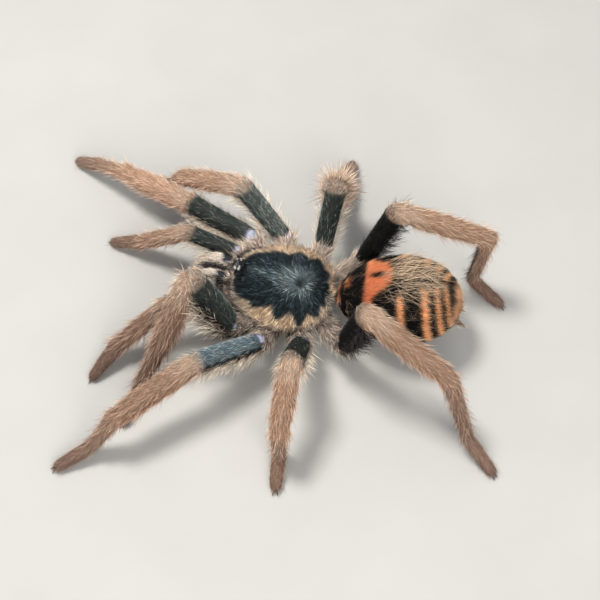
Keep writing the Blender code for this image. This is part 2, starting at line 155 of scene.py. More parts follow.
NAPS = {
    Part.CARAPACE: Nap(0.22, 0.8, 16),
    Part.STERNUM: Nap(0.25, 0.8, 25),
    Part.PEDICEL: Nap(0.1, 0.6, 30),
    Part.ABDOMEN: Nap(0.42, 0.95, 24),
    Part.SPINNERET: Nap(0.12, 0.5, 25),
    Part.JAW: Nap(0.22, 0.7, 20),
    Part.MOUND: Nap(0.05, 0.4, 50),
    Part.HIP: Nap(0.22, 1.2, 34),
    Part.FEMUR: Nap(0.24, 0.62, 20),
    Part.PATELLA: Nap(0.36, 0.85, 26),
    Part.TIBIA: Nap(0.36, 0.9, 24),
    Part.METATARSUS: Nap(0.3, 0.85, 24),
    Part.TARSUS: Nap(0.22, 0.7, 22),
}


def colour(red: float, green: float, blue: float) -> Array:
    """A colour in linear light from the values that a colour card gives it, 0 to 255."""
    share = np.array((red, green, blue)) / 255
    return np.where(share <= 0.04045, share / 12.92, ((share + 0.055) / 1.055) ** 2.4)


class Hue(Enum):
    """The colours of this spider's hide and coat, as a colour card gives them; some of them are painted
    sheen and painted highlights.
    """

    CARAPACE = (18, 28, 33)
    CARAPACE_PALE = (120, 137, 141)
    MARGIN = (226, 204, 176)
    MARGIN_DEEP = (190, 156, 124)
    CLYPEUS = (186, 172, 158)
    FEMUR = (30, 36, 34)
    FEMUR_BACK = (92, 102, 98)
    FEMUR_BLUE = (116, 140, 150)
    FEMUR_BELLY = (72, 36, 27)
    FEMUR_BLACK = (14, 14, 14)
    FRINGE = (236, 220, 198)
    TAN = (228, 172, 134)
    TAN_PALE = (238, 200, 168)
    TAN_ROSE = (212, 152, 122)
    TAN_BROWN = (158, 122, 100)
    KNEE = (232, 202, 176)
    FOOT = (126, 94, 80)
    SOLE = (62, 46, 40)
    HIP = (248, 222, 210)
    BRISTLE = (34, 24, 22)
    LILAC = (172, 182, 208)
    SLATE = (84, 90, 110)
    JAW = (250, 236, 220)
    JAW_BARE = (34, 35, 38)
    BELLY = (58, 46, 40)
    BLACK = (15, 13, 12)
    ORANGE = (222, 140, 96)
    ORANGE_PALE = (255, 190, 136)
    STREAMER = (208, 182, 152)

    @property
    def light(self) -> Array:
        """The colour in linear light."""
        return colour(*self.value)


# ---- small helpers ----
def unit(vectors: Array) -> Array:
    """Vectors scaled to length 1."""
    return vectors / np.maximum(np.linalg.norm(vectors, axis=-1, keepdims=True), 1e-12)


def step(low: float, high: float, values: Array) -> Array:
    """A smooth step from 0 at low to 1 at high; low may be the larger one."""
    t = np.clip((values - low) / (high - low), 0, 1)
    return t * t * (3 - 2 * t)


def bump(values: Array, centre: float, width: float) -> Array:
    """A bell of height 1 round a centre."""
    return np.exp(-(((values - centre) / width) ** 2))


def ripple(points: Array, wavelength: float, seed: float) -> Array:
    """A smooth uneven field between -1 and 1 over points in space.

    Args:
        points: The places, in metres.
        wavelength: The size of its patches, in metres.
        seed: Any number; another number gives another field.

    Returns:
        One value for each point.
    """
    total = np.zeros(len(points))
    for octave in range(3):
        turn = seed + 2.4 * octave
        way = np.array((math.sin(turn), math.cos(1.7 * turn), math.sin(2.3 * turn + 1)))
        other = np.cross(way, (0.3, -0.5, 0.8))
        scale = 2 * math.pi * (1 + 0.6 * octave) / wavelength
        total += np.sin(points @ way * scale + turn) * np.sin(points @ other * scale - 3 * turn)
    return total / 3


def mix(one: Array, two: Array, share: Array | float) -> Array:
    """Blend colours or tables of colours; share may have one value for each row."""
    return one + (two - one) * np.asarray(share)[..., None]


def tinted(tone: Array, hue: Hue, share: Array | float) -> Array:
    """A table of colours, blended with one more colour."""
    return mix(tone, hue.light, share)


def place(table: Array, where: Array, other: Array) -> Array:
    """The table with the rows of another one, or with one row, in some places."""
    return np.where(where[:, None], other, table)


def read(items: Items, key: str, columns: int = 1, kind: type = np.int32) -> Array:
    """Read one property of every item of a mesh.

    Args:
        items: The mesh's vertices, edges, faces or corners.
        key: The property's name.
        columns: How many numbers it has.
        kind: The type of its numbers.

    Returns:
        A row for each item.
    """
    flat = np.empty(len(items) * columns, kind)
    items.foreach_get(key, flat)
    return flat.reshape(-1, columns) if columns > 1 else flat


def coordinates(mesh: Mesh) -> Array:
    """The places of a mesh's vertices."""
    return read(mesh.vertices, "co", 3, np.float32).astype(float)


def write(mesh: Mesh, name: str, values: Array) -> None:
    """Write an attribute on a mesh, over the one of that name if there is one.

    Args:
        mesh: The mesh.
        name: The attribute's name.
        values: A yes or no for each face, or a number, a direction or a colour for each vertex.
    """
    if values.dtype == bool:
        kind, key, domain = "BOOLEAN", "value", "FACE"
    else:
        kinds = {1: ("FLOAT", "value"), 3: ("FLOAT_VECTOR", "vector"), 4: ("FLOAT_COLOR", "color")}
        (kind, key), domain = kinds[values.size // len(values)], "POINT"
        values = values.astype(np.float32)
    layer = mesh.attributes.get(name)
    if layer is None:
        layer = mesh.attributes.new(name, kind, domain)
    layer.data.foreach_set(key, values.ravel())


def write_tone(mesh: Mesh, tone: Array) -> None:
    """Write the tone attribute that the coat's and the hide's finishes read."""
    write(mesh, "tone", np.hstack((np.clip(tone, 0, 1), np.ones((len(tone), 1)))))


def new_object(name: str, data: ID) -> Object:
    """Put an object in the scene.

    Args:
        name: Its name.
        data: Its mesh, lamp or camera.

    Returns:
        The object.
    """
    piece = bpy.data.objects.new(name, data)
    bpy.context.scene.collection.objects.link(piece)
    return piece


@contextmanager
def shaping(mesh: Mesh) -> Iterator[BMesh]:
    """Open a mesh for editing, and write it back at the end.

    Args:
        mesh: The mesh.

    Yields:
        Its editable form.
    """
    bm = bmesh.new()
    bm.from_mesh(mesh)
    yield bm
    bm.to_mesh(mesh)
    bm.free()


def middle_of(node: str) -> Vector:
    """The middle of a solid's box."""
    low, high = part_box(node)
    return (low + high) / 2


def ball_at(centre: Sequence[float], radii: Sequence[float]) -> Matrix:
    """The matrix of a unit ball moved to a place and stretched."""
    return Matrix.Translation(centre) @ Matrix.Diagonal((*radii, 1))


def ball_between(start: Vector, end: Vector, radius: float) -> Matrix:
    """Stretch a unit ball from one point to another.

    Args:
        start: The one point.
        end: The other.
        radius: The ball's girth between them.

    Returns:
        Its matrix.
    """
    turn = (end - start).to_track_quat("Z", "Y").to_matrix().to_4x4()
    size = Matrix.Diagonal((radius, radius, (end - start).length / 2, 1))
    return Matrix.Translation((start + end) / 2) @ turn @ size


def plain_copy(piece: Object, name: str) -> Object:
    """Turn what an object's modifiers show into a plain mesh.

    Args:
        piece: The object, which is removed.
        name: The new object's name.

    Returns:
        The new object, without modifiers.
    """
    graph = bpy.context.evaluated_depsgraph_get()
    mesh = bpy.data.meshes.new_from_object(piece.evaluated_get(graph), depsgraph=graph)
    mesh.name = name
    bpy.data.objects.remove(piece, do_unlink=True)
    return new_object(name, mesh)


def adopt(piece: Object, nodes: Iterable[str] = ()) -> None:
    """Fix a finished piece to the frame.

    Args:
        piece: The finished piece.
        nodes: The solids that it stands for.
    """
    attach(piece, BODY)
    if nodes:
        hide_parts(*nodes)
    LOG.info("%s: %d faces", piece.name, len(piece.data.polygons))


# ---- the skeleton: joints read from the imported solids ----
@dataclass(frozen=True, eq=False)
class Bone:
    """A straight stretch of a limb from joint to joint, with the direction of its back."""

    part: Part
    limb: str
    node: str
    start: Array
    end: Array
    above: Array

    @property
    def way(self) -> Array:
        """The unit vector from the near joint to the far one."""
        return unit(self.end - self.start)

    @property
    def length(self) -> float:
        """The distance between its joints."""
        return float(np.linalg.norm(self.end - self.start))


@dataclass
class Skeleton:
    """The centre lines of the limbs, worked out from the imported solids."""

    nodes: dict[str, Object]
    joint_reach: float = 0.45 * MM  # how near the corners of two solids are at their joint
    root_ring: float = 0.6 * MM  # depth of the ring of corners at a limb's root
    bones: list[Bone] = field(default_factory=list)
    joints: list[tuple[Array, float]] = field(default_factory=list)

    def __post_init__(self) -> None:
        """Read every limb."""
        for kind, parts in LIMB_PARTS.items():
            for side in SIDES:
                self.read_limb(f"{kind}_{side}", parts)

    def joint_between(self, one: Array, two: Array) -> Array:
        """Find the joint where two solids face each other, and keep its place and size.

        Args:
            one: The corners of the one solid.
            two: The corners of the other.

        Returns:
            The joint's centre.
        """
        gaps = np.linalg.norm(one[:, None] - two[None], axis=2) < self.joint_reach
        ring = np.vstack((one[gaps.any(1)], two[gaps.any(0)]))
        centre = (one[gaps.any(1)].mean(0) + two[gaps.any(0)].mean(0)) / 2
        self.joints.append((centre, float(np.linalg.norm(ring - centre, axis=1).mean())))
        return centre

    def read_limb(self, limb: str, parts: Sequence[str]) -> None:
        """Add the bones of one limb.

        Args:
            limb: The limb's name, such as leg_1_left.
            parts: The names of its solids from the body outwards.
        """
        corners = [coordinates(self.nodes[f"{limb}_{part}"].data) for part in parts]
        places = [self.joint_between(one, two) for one, two in zip(corners, corners[1:])]
        reach = np.linalg.norm(corners[0] - places[0], axis=1)
        inner = corners[0][reach > reach.max() - self.root_ring].mean(0)
        foot = corners[-1]
        along = (foot - places[-1]) @ unit(foot.mean(0) - places[-1])
        tip = foot[along > 0.97 * along.max()].mean(0)
        places = [inner, *places, tip]

        above = np.array((0.0, 0.0, 1.0))
        way = None
        for k, part in enumerate(parts):
            start, end = places[k], places[k + 1]
            new_way = unit(end - start)
            if k > 1:
                turn = Vector(way).rotation_difference(Vector(new_way))
                above = np.array(turn @ Vector(above))
            above = unit(above - new_way * (above @ new_way))
            way = new_way
            node = f"{limb}_{part}"
            if part == "tibia":
                knee = start + (end - start) * PATELLA_SHARE
                self.bones.append(Bone(Part.PATELLA, limb, node, start, knee, above))
                start = knee
            self.bones.append(Bone(PART_OF_WORD[part], limb, node, start, end, above))

    def root_distance(self, bone: Bone) -> float:
        """How far a bone's near joint is from the root of its limb, along the limb."""
        limb = [other for other in self.bones if other.limb == bone.limb]
        return sum(other.length for other in limb[: limb.index(bone)])


# ---- the skin ----
@dataclass
class Chart:
    """For each point of the skin, where it is on the body."""

    points: Array
    normals: Array
    part: Array = field(init=False)  # the value of its Part
    limb: Array = field(init=False)  # index in LIMB_NAMES, or -1
    along: Array = field(init=False)  # share of the way along its part, or from front to back
    reach: Array = field(init=False)  # the same in metres
    travel: Array = field(init=False)  # distance from the root of its limb, in metres
    way: Array = field(init=False)  # the direction in which its part runs
    above: Array = field(init=False)  # the direction of its part's back
    radial: Array = field(init=False)  # the offset from its part's centre line
    back: Array = field(init=False)  # 1 on the upper side of its part, -1 on the lower one
    angle: Array = field(init=False)  # the angle round its part, 0 on its upper side

    def __post_init__(self) -> None:
        """Make the tables that Skin fills in."""
        count = len(self.points)
        self.part = np.zeros(count, int)
        self.limb = np.full(count, -1)
        self.along, self.reach, self.travel = np.zeros((3, count))
        self.way, self.above, self.radial = np.zeros((3, count, 3))

    def settle(self) -> None:
        """Work out the places round the parts, once their centre lines are in."""
        radial = unit(self.radial - self.way * (self.radial * self.way).sum(1)[:, None])
        self.back = (radial * self.above).sum(1)
        self.angle = np.arctan2((radial * np.cross(self.way, self.above)).sum(1), self.back)
        self.travel = np.where(self.limb < 0, self.reach, self.travel)

    @property
    def length(self) -> Array:
        """The length in metres of the part that each point is on."""
        return self.reach / np.maximum(self.along, 1e-6)

    def on(self, *parts: Part) -> Array:
        """Which points lie on these parts."""
        return np.isin(self.part, [part.value for part in parts])

    def on_limb(self, *limbs: str) -> Array:
        """Which points lie on these limbs; leg_1 stands for that of both sides."""
        return np.isin(self.limb, [k for k, name in enumerate(LIMB_NAMES) if name.startswith(limbs)])

    def by_limb(self, values: dict[str, float], other: float) -> Array:
        """Give each point the value of its limb.

        Args:
            values: For the name of a limb its value.
            other: The value everywhere else.

        Returns:
            A value for each point.
        """
        table = np.full(len(self.points), other)
        for limb, value in values.items():
            table[self.on_limb(limb)] = value
        return table


@dataclass
class Skin:
    """The hide: one closed mesh over all the solids of flesh."""

    frame: dict
    skeleton: Skeleton
    voxel: float = 0.27 * MM
    smoothing: int = 4
    joint_slack: float = 0.2 * MM  # how far the flesh of a joint lies inside the limb
    pleura_share: float = 0.43  # size of the soft flesh under the carapace, as a share of it
    pleura_height: float = 1.8 * MM
    waist: float = 0.95 * MM
    mound_root: tuple[float, float, float] = (1.2 * MM, MM, 0.7 * MM)
    jaw_root: tuple[float, float, float] = (0.95 * MM, 1.2 * MM, 1.5 * MM)
    spinneret_root: float = 0.6 * MM
    crease: float = 0.16 * MM
    crease_width: float = 0.35 * MM
    knee_collar: float = 0.1 * MM
    femur_hollow: float = 0.12 * MM
    furrow: float = 0.13 * MM
    fovea: float = 0.25 * MM
    dimple: float = 0.07 * MM
    mesh: Mesh | None = None
    chart: Chart | None = None
    edges: Array | None = None

    def flesh_nodes(self) -> list[str]:
        """The solids that the skin stands for."""
        names = sorted(name for name in self.frame["nodes"] if not name.startswith(("fang", "eye")))
        return [*names, "eye_mound"]

    @staticmethod
    def part_of(node: str) -> Part:
        """Look up the part of the body that a solid belongs to.

        Args:
            node: The solid's name.

        Returns:
            The part.

        Raises:
            KeyError: If its name has none of the words.
        """
        for word, part in PART_OF_WORD.items():
            if node.startswith(word) or node.endswith(f"_{word}"):
                return part
        raise KeyError(node)

    def slimmed(self, node: str) -> Mesh:
        """Move a solid's faces inwards by the depth of its coat.

        Args:
            node: The solid's name.

        Returns:
            A new mesh.
        """
        depth = NAPS[self.part_of(node)].depth * MM
        mesh = self.frame["nodes"][node].data.copy()
        with shaping(mesh) as bm:
            bmesh.ops.remove_doubles(bm, verts=bm.verts, dist=1e-6)
            bm.normal_update()
            for vert, normal in [(vert, vert.normal.copy()) for vert in bm.verts]:
                vert.co -= normal * depth
        return mesh

    def fillings(self) -> list[Matrix]:
        """Place the soft flesh between the solids.

        Returns:
            The matrices of unit balls.
        """
        balls = []
        for centre, radius in self.skeleton.joints:
            balls.append(ball_at(centre, (radius - self.joint_slack,) * 3))
        shell_low, shell_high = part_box("carapace")
        pleura = (shell_high - shell_low) * self.pleura_share
        pleura.z = self.pleura_height
        middle = middle_of("carapace")
        middle.z = (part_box("sternum")[0].z + shell_low.z) / 2 + 0.7 * MM
        balls.append(ball_at(middle, pleura))

        waist = middle_of("pedicel")
        waist.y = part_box("pedicel")[0].y - 0.5 * MM
        rump = middle_of("abdomen")
        rump.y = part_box("abdomen")[0].y + 3 * MM
        rump.z -= 1.2 * MM
        balls.append(ball_between(waist, rump, self.waist))
        mound = middle_of("eye_mound")
        mound.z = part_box("eye_mound")[0].z
        balls.append(ball_at(mound, self.mound_root))
        for side in SIDES:
            root = middle_of(f"chelicera_{side}")
            jaw_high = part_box(f"chelicera_{side}")[1]
            root.y, root.z = jaw_high.y, jaw_high.z - 1.9 * MM
            balls.append(ball_at(root, self.jaw_root))
            root = middle_of(f"spinneret_{side}")
            root.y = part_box(f"spinneret_{side}")[0].y
            tip = root + Vector((0, MM, 0))
            balls.append(ball_between(rump.lerp(root, 0.8), tip, self.spinneret_root))
        return balls

    def rough_form(self) -> Object:
        """Put the slimmed solids and the fillings in one mesh.

        Returns:
            Its object, with the modifiers that make one smooth skin of it.
        """
        rough = new_object("skin_rough", bpy.data.meshes.new("skin_rough"))
        with shaping(rough.data) as bm:
            for node in self.flesh_nodes():
                mesh = self.slimmed(node)
                bm.from_mesh(mesh)
                bpy.data.meshes.remove(mesh)
            for ball in self.fillings():
                bmesh.ops.create_uvsphere(bm, u_segments=20, v_segments=12, radius=1, matrix=ball)
        remesh = rough.modifiers.new("one skin", "REMESH")
        remesh.mode = "VOXEL"
        remesh.voxel_size = self.voxel
        smooth = rough.modifiers.new("smooth", "SMOOTH")
        smooth.factor = 0.5
        smooth.iterations = self.smoothing
        return rough

    @staticmethod
    def keep_outer(bm: BMesh) -> None:
        """Keep only the largest island of a mesh: hollows inside the body go.

        Args:
            bm: The mesh.
        """
        bm.verts.ensure_lookup_table()
        seen = [False] * len(bm.verts)
        islands = []
        for first in range(len(bm.verts)):
            if seen[first]:
                continue
            seen[first] = True
            island = [bm.verts[first]]
            for vert in island:
                for edge in vert.link_edges:
                    other = edge.other_vert(vert)
                    if not seen[other.index]:
                        seen[other.index] = True
                        island.append(other)
            islands.append(island)
        islands.sort(key=len)
        loose = [vert for island in islands[:-1] for vert in island]
        LOG.info("skin: %d hollow or loose islands dropped", len(islands) - 1)
        bmesh.ops.delete(bm, geom=loose, context="VERTS")

    def build(self) -> Object:
        """Make the skin and its chart.

        Returns:
            The skin's object, without its finish.
        """
        piece = plain_copy(self.rough_form(), "skin")
        self.mesh = piece.data
        with shaping(self.mesh) as bm:
            self.keep_outer(bm)
        self.edges = read(self.mesh.edges, "vertices", 2)
        self.chart = self.read_chart()
        self.sculpt()
        self.chart = self.read_chart()
        self.mesh.shade_smooth()
        return piece

    def nearest_nodes(self, points: Array) -> Array:
        """Find the solid that lies nearest to each point.

        Args:
            points: Places on the skin.

        Returns:
            For each point an index in the names of flesh_nodes.
        """
        corners: list[Vector] = []
        faces: list[tuple[int, ...]] = []
        owner: list[int] = []
        for k, name in enumerate(self.flesh_nodes()):
            mesh = self.frame["nodes"][name].data
            first = len(corners)
            corners += [vert.co.copy() for vert in mesh.vertices]
            for face in mesh.polygons:
                faces.append(tuple(first + v for v in face.vertices))
                owner.append(k)
        tree = BVHTree.FromPolygons(corners, faces)
        return np.array([owner[tree.find_nearest(point)[2]] for point in points.tolist()])

    def read_chart(self) -> Chart:
        """Chart the skin as it is now.

        Returns:
            The chart.
        """
        normals = read(self.mesh.vertex_normals, "vector", 3, np.float32).astype(float)
        chart = Chart(coordinates(self.mesh), normals)
        nearest = self.nearest_nodes(chart.points)
        for k, name in enumerate(self.flesh_nodes()):
            here = np.flatnonzero(nearest == k)
            bones = [bone for bone in self.skeleton.bones if bone.node == name]
            if bones:
                self.chart_limb(chart, here, bones)
            else:
                self.chart_body(chart, here, name)
        self.chart_abdomen(chart)
        chart.settle()
        return chart

    def chart_limb(self, chart: Chart, here: Array, bones: Sequence[Bone]) -> None:
        """Chart the points of one solid of a limb along its bones.

        Args:
            chart: The chart.
            here: The indices of the points.
            bones: The one or two bones in the solid.
        """
        start, end = bones[0].start, bones[-1].end
        line = unit(end - start)
        distance = (chart.points[here] - start) @ line
        for bone in bones:
            first = (bone.start - start) @ line
            chosen = (distance >= first - 1e-9) | (bone is bones[0])
            rows = here[chosen]
            chart.part[rows] = bone.part.value
            chart.reach[rows] = distance[chosen] - first
            chart.along[rows] = chart.reach[rows] / bone.length
        chart.limb[here] = LIMB_NAMES.index(bones[0].limb)
        chart.travel[here] = distance + self.skeleton.root_distance(bones[0])
        chart.way[here] = line
        chart.above[here] = bones[0].above
        foot = start + np.clip(distance, 0, np.linalg.norm(end - start))[:, None] * line
        chart.radial[here] = chart.points[here] - foot

    def chart_body(self, chart: Chart, here: Array, name: str) -> None:
        """Chart the points of one solid of the body from front to back.

        Args:
            chart: The chart.
            here: The indices of the points.
            name: The solid's name.
        """
        low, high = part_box(name)
        chart.part[here] = self.part_of(name).value
        chart.reach[here] = chart.points[here, 1] - low.y
        chart.along[here] = chart.reach[here] / (high.y - low.y)
        chart.way[here] = (0, 1, 0)
        chart.above[here] = (0, 0, 1)
        chart.radial[here] = (chart.points[here] - np.array(middle_of(name))) * (1, 0, 1)

    @staticmethod
    def chart_abdomen(chart: Chart) -> None:
        """Chart the abdomen again along its own axis, which is found from its shape.

        Args:
            chart: The chart.
        """
        here = np.flatnonzero(chart.on(Part.ABDOMEN))
        cloud = chart.points[here]
        centre = (cloud.min(0) + cloud.max(0)) / 2
        axis = np.linalg.svd(cloud - centre, full_matrices=False)[2][0]
        axis = axis * np.sign(axis[1])
        distance = (cloud - centre) @ axis
        low, high = distance.min(), distance.max()
        chart.along[here] = (distance - low) / (high - low)
        chart.reach[here] = distance - low
        chart.way[here] = axis
        up = np.array((0, 0, 1.0))
        chart.above[here] = unit(up - axis * (up @ axis))
        chart.radial[here] = cloud - centre

    def spread(self, values: Array, rounds: int) -> Array:
        """Average values with those of neighbouring points.

        Args:
            values: One row for each point.
            rounds: How many times.

        Returns:
            The smoother values.
        """
        table = values.reshape(len(values), -1).astype(float)
        one, two = self.edges[:, 0], self.edges[:, 1]
        count = 1.0 + np.bincount(one, minlength=len(table)) + np.bincount(two, minlength=len(table))
        for _ in range(rounds):
            total = table.copy()
            for column in range(table.shape[1]):
                total[:, column] += np.bincount(one, table[two, column], len(table))
                total[:, column] += np.bincount(two, table[one, column], len(table))
            table = total / count[:, None]
        return table.reshape(values.shape)

    def sculpt(self) -> None:
        """Press in the creases at the joints, the pits and furrows, and raise what is swollen."""
        chart = self.chart
        far = bump(np.maximum(chart.length, 1e-6) - chart.reach, 0, self.crease_width)
        near = bump(chart.reach, 0, self.crease_width)
        limbs = chart.limb >= 0
        rise = np.zeros(len(chart.points))
        rise -= self.crease * np.where(limbs & ~chart.on(Part.TARSUS), far, 0)
        rise -= self.crease * np.where(limbs & ~chart.on(Part.HIP, Part.FEMUR), near, 0)
        collar = bump(chart.reach, 0.9 * MM, 0.5 * MM) * step(0.1, 0.8, chart.back)
        rise += self.knee_collar * np.where(chart.on(Part.PATELLA), collar, 0)
        hollow = bump(chart.reach, 0.3 * MM, 0.5 * MM) * step(0.2, 0.9, chart.back)
        rise -= self.femur_hollow * np.where(chart.on(Part.FEMUR), hollow, 0)
        rise += self.carapace_relief()
        dimples = self.dimple * ripple(chart.points, 5 * MM, 3.0)
        rise += np.where(chart.on(Part.ABDOMEN), dimples, 0)
        rise = self.spread(rise, 1)
        moved = chart.points + chart.normals * rise[:, None]
        self.mesh.vertices.foreach_set("co", moved.astype(np.float32).ravel())
        self.mesh.update()

    def carapace_relief(self) -> Array:
        """Press in the furrows from the fovea to the edge between the legs, and the fovea's slit.

        Returns:
            How far each point rises, in metres.
        """
        chart = self.chart
        x, y, share, turn = carapace_place(chart.points)
        rise = np.zeros(len(chart.points))
        for furrow in CARAPACE_FURROWS:
            near = bump(np.abs(turn), math.radians(furrow), math.radians(5))
            rise -= self.furrow * near * step(0.25, 0.5, share) * step(1.02, 0.85, share)
        slit = bump(x, 0, 0.8 * MM) * bump(y, 0, 0.3 * MM)
        rise -= self.fovea * slit
        on_top = chart.on(Part.CARAPACE) & (chart.normals[:, 2] > 0)
        return np.where(on_top, rise, 0)


def carapace_axes() -> tuple[Array, Array, Array]:
    """Find how the carapace lies, seen from above.

    Returns:
        Its middle, and its directions to the left and backwards.
    """
    middle = np.array(middle_of("carapace"))[:2]
    back = unit(middle - np.array(middle_of("eye_mound"))[:2])
    return middle, np.array((back[1], -back[0])), back


def carapace_place(points: Array) -> tuple[Array, ...]:
    """Find where points are on the carapace, seen from its fovea.

    Args:
        points: Places on the skin.

    Returns:
        The offset to the left and backwards in metres, the share of the way to the edge, and the
        angle from straight ahead.
    """
    low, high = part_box("carapace")
    middle, left, back = carapace_axes()
    size = high - low
    offset = points[:, :2] - middle
    x = offset @ left
    y = offset @ back - (FOVEA_SHARE - 0.5) * size.y
    turn = np.arctan2(x, -y)
    ahead = np.where(y < 0, FOVEA_SHARE, 1 - FOVEA_SHARE) * size.y
    bulge = np.where(y < 0, 2.7, 2.5)
    share = ((np.abs(x) / (size.x / 2)) ** bulge + (np.abs(y) / ahead) ** bulge) ** (1 / bulge)
    return x, y, share, turn


def mound_share(points: Array) -> Array:
    """Find how far out points are on the eye mound.

    Args:
        points: Places on the skin.

    Returns:
        0 in its middle, 1 at its foot and more beyond.
    """
    low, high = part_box("eye_mound")
    offset = (points - np.array((low + high) / 2)) / np.array((high - low) / 2)
    return np.hypot(offset[:, 0], offset[:, 1])


# ---- what grows on the skin ----
Value = Array | float | None


@dataclass
class Pelage:
    """One kind of strand on every point of the skin."""

    cover: Array  # share of the layer's full density
    length: Array  # metres
    lift: Array  # angle away from the skin, in radians
    lie: Array  # direction along the skin
    tone: Array  # colour

    def set(self, where: Array, cover: Value = None, length: Value = None, lift: Value = None) -> None:
        """Change the strands in some places.

        Args:
            where: The places.
            cover: Their new share of the full density, if it changes.
            length: Their new length in mm.
            lift: Their new lift in degrees.
        """
        if cover is not None:
            self.cover = np.where(where, cover, self.cover)
        if length is not None:
            self.length = np.where(where, length * MM, self.length)
        if lift is not None:
            self.lift = np.where(where, np.radians(lift), self.lift)


@dataclass
class Markings:
    """The colours of hide and coat, with painted sheen, highlights and shade among them, the bare
    places, and how the coat lies, all from the chart.

    Its methods give one value, or one row, for each point of the skin.
    """

    skin: Skin

    @property
    def chart(self) -> Chart:
        """The skin's chart."""
        return self.skin.chart

    def jagged(self, size: float, seed: float) -> Array:
        """An uneven field that frays the edges of markings."""
        return ripple(self.chart.points, size, seed)

    # -- carapace --
    def margin_share(self) -> Array:
        """Find how far the pale hair of the margin covers the carapace.

        Between the legs it reaches in as pointed patches; dark rays stand between them.

        Returns:
            1 on the margin, 0 inside.
        """
        x, _, share, turn = carapace_place(self.chart.points)
        turn_degrees = np.degrees(np.abs(turn))
        rays = np.zeros(len(x))
        for furrow, width, reach in MARGIN_PATCHES:
            side = np.abs(turn_degrees - furrow) / width
            rays = np.maximum(rays, reach * np.clip(1 - side, 0, 1) ** 0.8)
        far = step(1.5 * MM, -1.5 * MM, x)  # the patches of the right side run together
        edge = 0.79 - 0.07 * far - (1 - 0.5 * far) * rays + 0.045 * self.jagged(0.8 * MM, 1.0)
        edge += 0.12 * bump(turn_degrees, 0, 26) + 0.08 * step(150, 175, turn_degrees)
        return step(0.0, 0.06, share - edge)

    def carapace_tone(self) -> Array:
        """Colour the carapace's coat: green-black with a greyer fovea, a painted sheen along the crest
        ahead of it, the fovea's pit painted black as its shade, and a pale margin.

        Returns:
            The colours.
        """
        x, y, share, turn = carapace_place(self.chart.points)
        pale = bump(share, 0.1, 0.16) * 0.62 + 0.22 * np.clip(self.jagged(0.8 * MM, 7.0), 0, 1)
        # Painted sheen: a paler streak along the midline ahead of the fovea.
        crest = bump(x, 0, 0.7 * MM) * step(0, -2 * MM, y) * step(0.85, 0.6, share)
        pale = pale * step(0.04, 0.1, share) + 0.25 * crest
        tone = mix(Hue.CARAPACE.light, Hue.CARAPACE_PALE.light, np.clip(pale, 0, 0.7))
        # Painted shade: the fovea's pit is painted black.
        tone = tinted(tone, Hue.BLACK, step(0.06, 0.03, share))
        deep = step(-0.2, 0.7, self.jagged(1.6 * MM, 4.0))
        margin = mix(Hue.MARGIN.light, Hue.MARGIN_DEEP.light, 0.7 * deep)
        tone = mix(tone, margin, self.margin_share())
        ahead = np.abs(np.degrees(turn))
        strip = 0.87 - 0.08 * (ahead / 35) ** 2
        return tinted(tone, Hue.CLYPEUS, step(0, 0.04, share - strip) * step(42, 34, ahead))

    # -- abdomen --
    def abdomen_turn(self) -> Array:
        """Degrees round the abdomen from the midline of its markings, to either side."""
        side = np.sign(self.chart.points[:, 0] - middle_of("abdomen").x)
        return np.abs(np.degrees(np.abs(self.chart.angle)) * side + ABDOMEN_ROLL)

    def abdomen_bright(self) -> Array:
        """Find the abdomen's orange marks: a saddle, then narrow bands down the flanks, and the tail.

        Returns:
            1 on the marks, 0 between them.
        """
        chart, turn = self.chart, self.abdomen_turn()
        fray = self.jagged(1.1 * MM, 5.0)
        along = chart.along + 0.010 * fray
        bright = bump(along, 0.045, 0.009) * (chart.back > -0.6) * (0.3 + 0.4 * step(40, 80, turn))
        flecks = bump(along, 0.10, 0.02) * bump(turn, 15, 7) * step(-0.3, 0.1, fray)
        bright = np.maximum(bright, flecks)
        reach = np.interp(along, *zip(*SADDLE))
        saddle = step(0.225, 0.24, along) * step(0.445, 0.43, along)
        saddle = saddle * step(4, -4, turn - reach + 5 * fray)
        dash = bump(along, 0.32, 0.05) * bump(turn, 0, 5)
        bright = np.maximum(bright, saddle * (1 - np.clip(1.6 * dash, 0, 1)))
        for centre, width, inner, outer in ABDOMEN_BANDS:
            slant = along - centre - 0.0008 * (turn - 40)
            band = step(width, 0.6 * width, np.abs(slant))
            band = band * step(inner - 8, inner + 4, turn) * step(outer + 12, outer - 6, turn)
            bright = np.maximum(bright, band)
        tail = step(0.905, 0.935, along) * step(118, 90, turn)
        spot = bump(along, 0.93, 0.022) * bump(turn, 34, 14)
        bright = np.maximum(bright, tail * (0.85 + 0.15 * fray) * (1 - 0.8 * spot))
        return np.clip(bright, 0, 1)

    def abdomen_tone(self) -> Array:
        """Colour the abdomen's coat: orange marks on black, paler at the tail, and pale lungs below.

        Returns:
            The colours.
        """
        chart, turn = self.chart, self.abdomen_turn()
        along = chart.along + 0.010 * self.jagged(1.1 * MM, 5.0)
        orange = mix(Hue.ORANGE.light, Hue.ORANGE_PALE.light, step(0.38, 0.5, along))
        orange = tinted(orange, Hue.TAN_PALE, 0.5 * step(0.84, 0.92, along))
        dark = mix(Hue.BLACK.light, Hue.BELLY.light, step(100, 150, turn))
        lungs = bump(chart.along, 0.2, 0.07) * bump(turn, 150, 14)
        lungs = np.maximum(lungs, bump(chart.along, 0.36, 0.06) * bump(turn, 154, 12))
        dark = tinted(dark, Hue.MARGIN_DEEP, 0.75 * lungs)
        return mix(dark, orange, self.abdomen_bright())

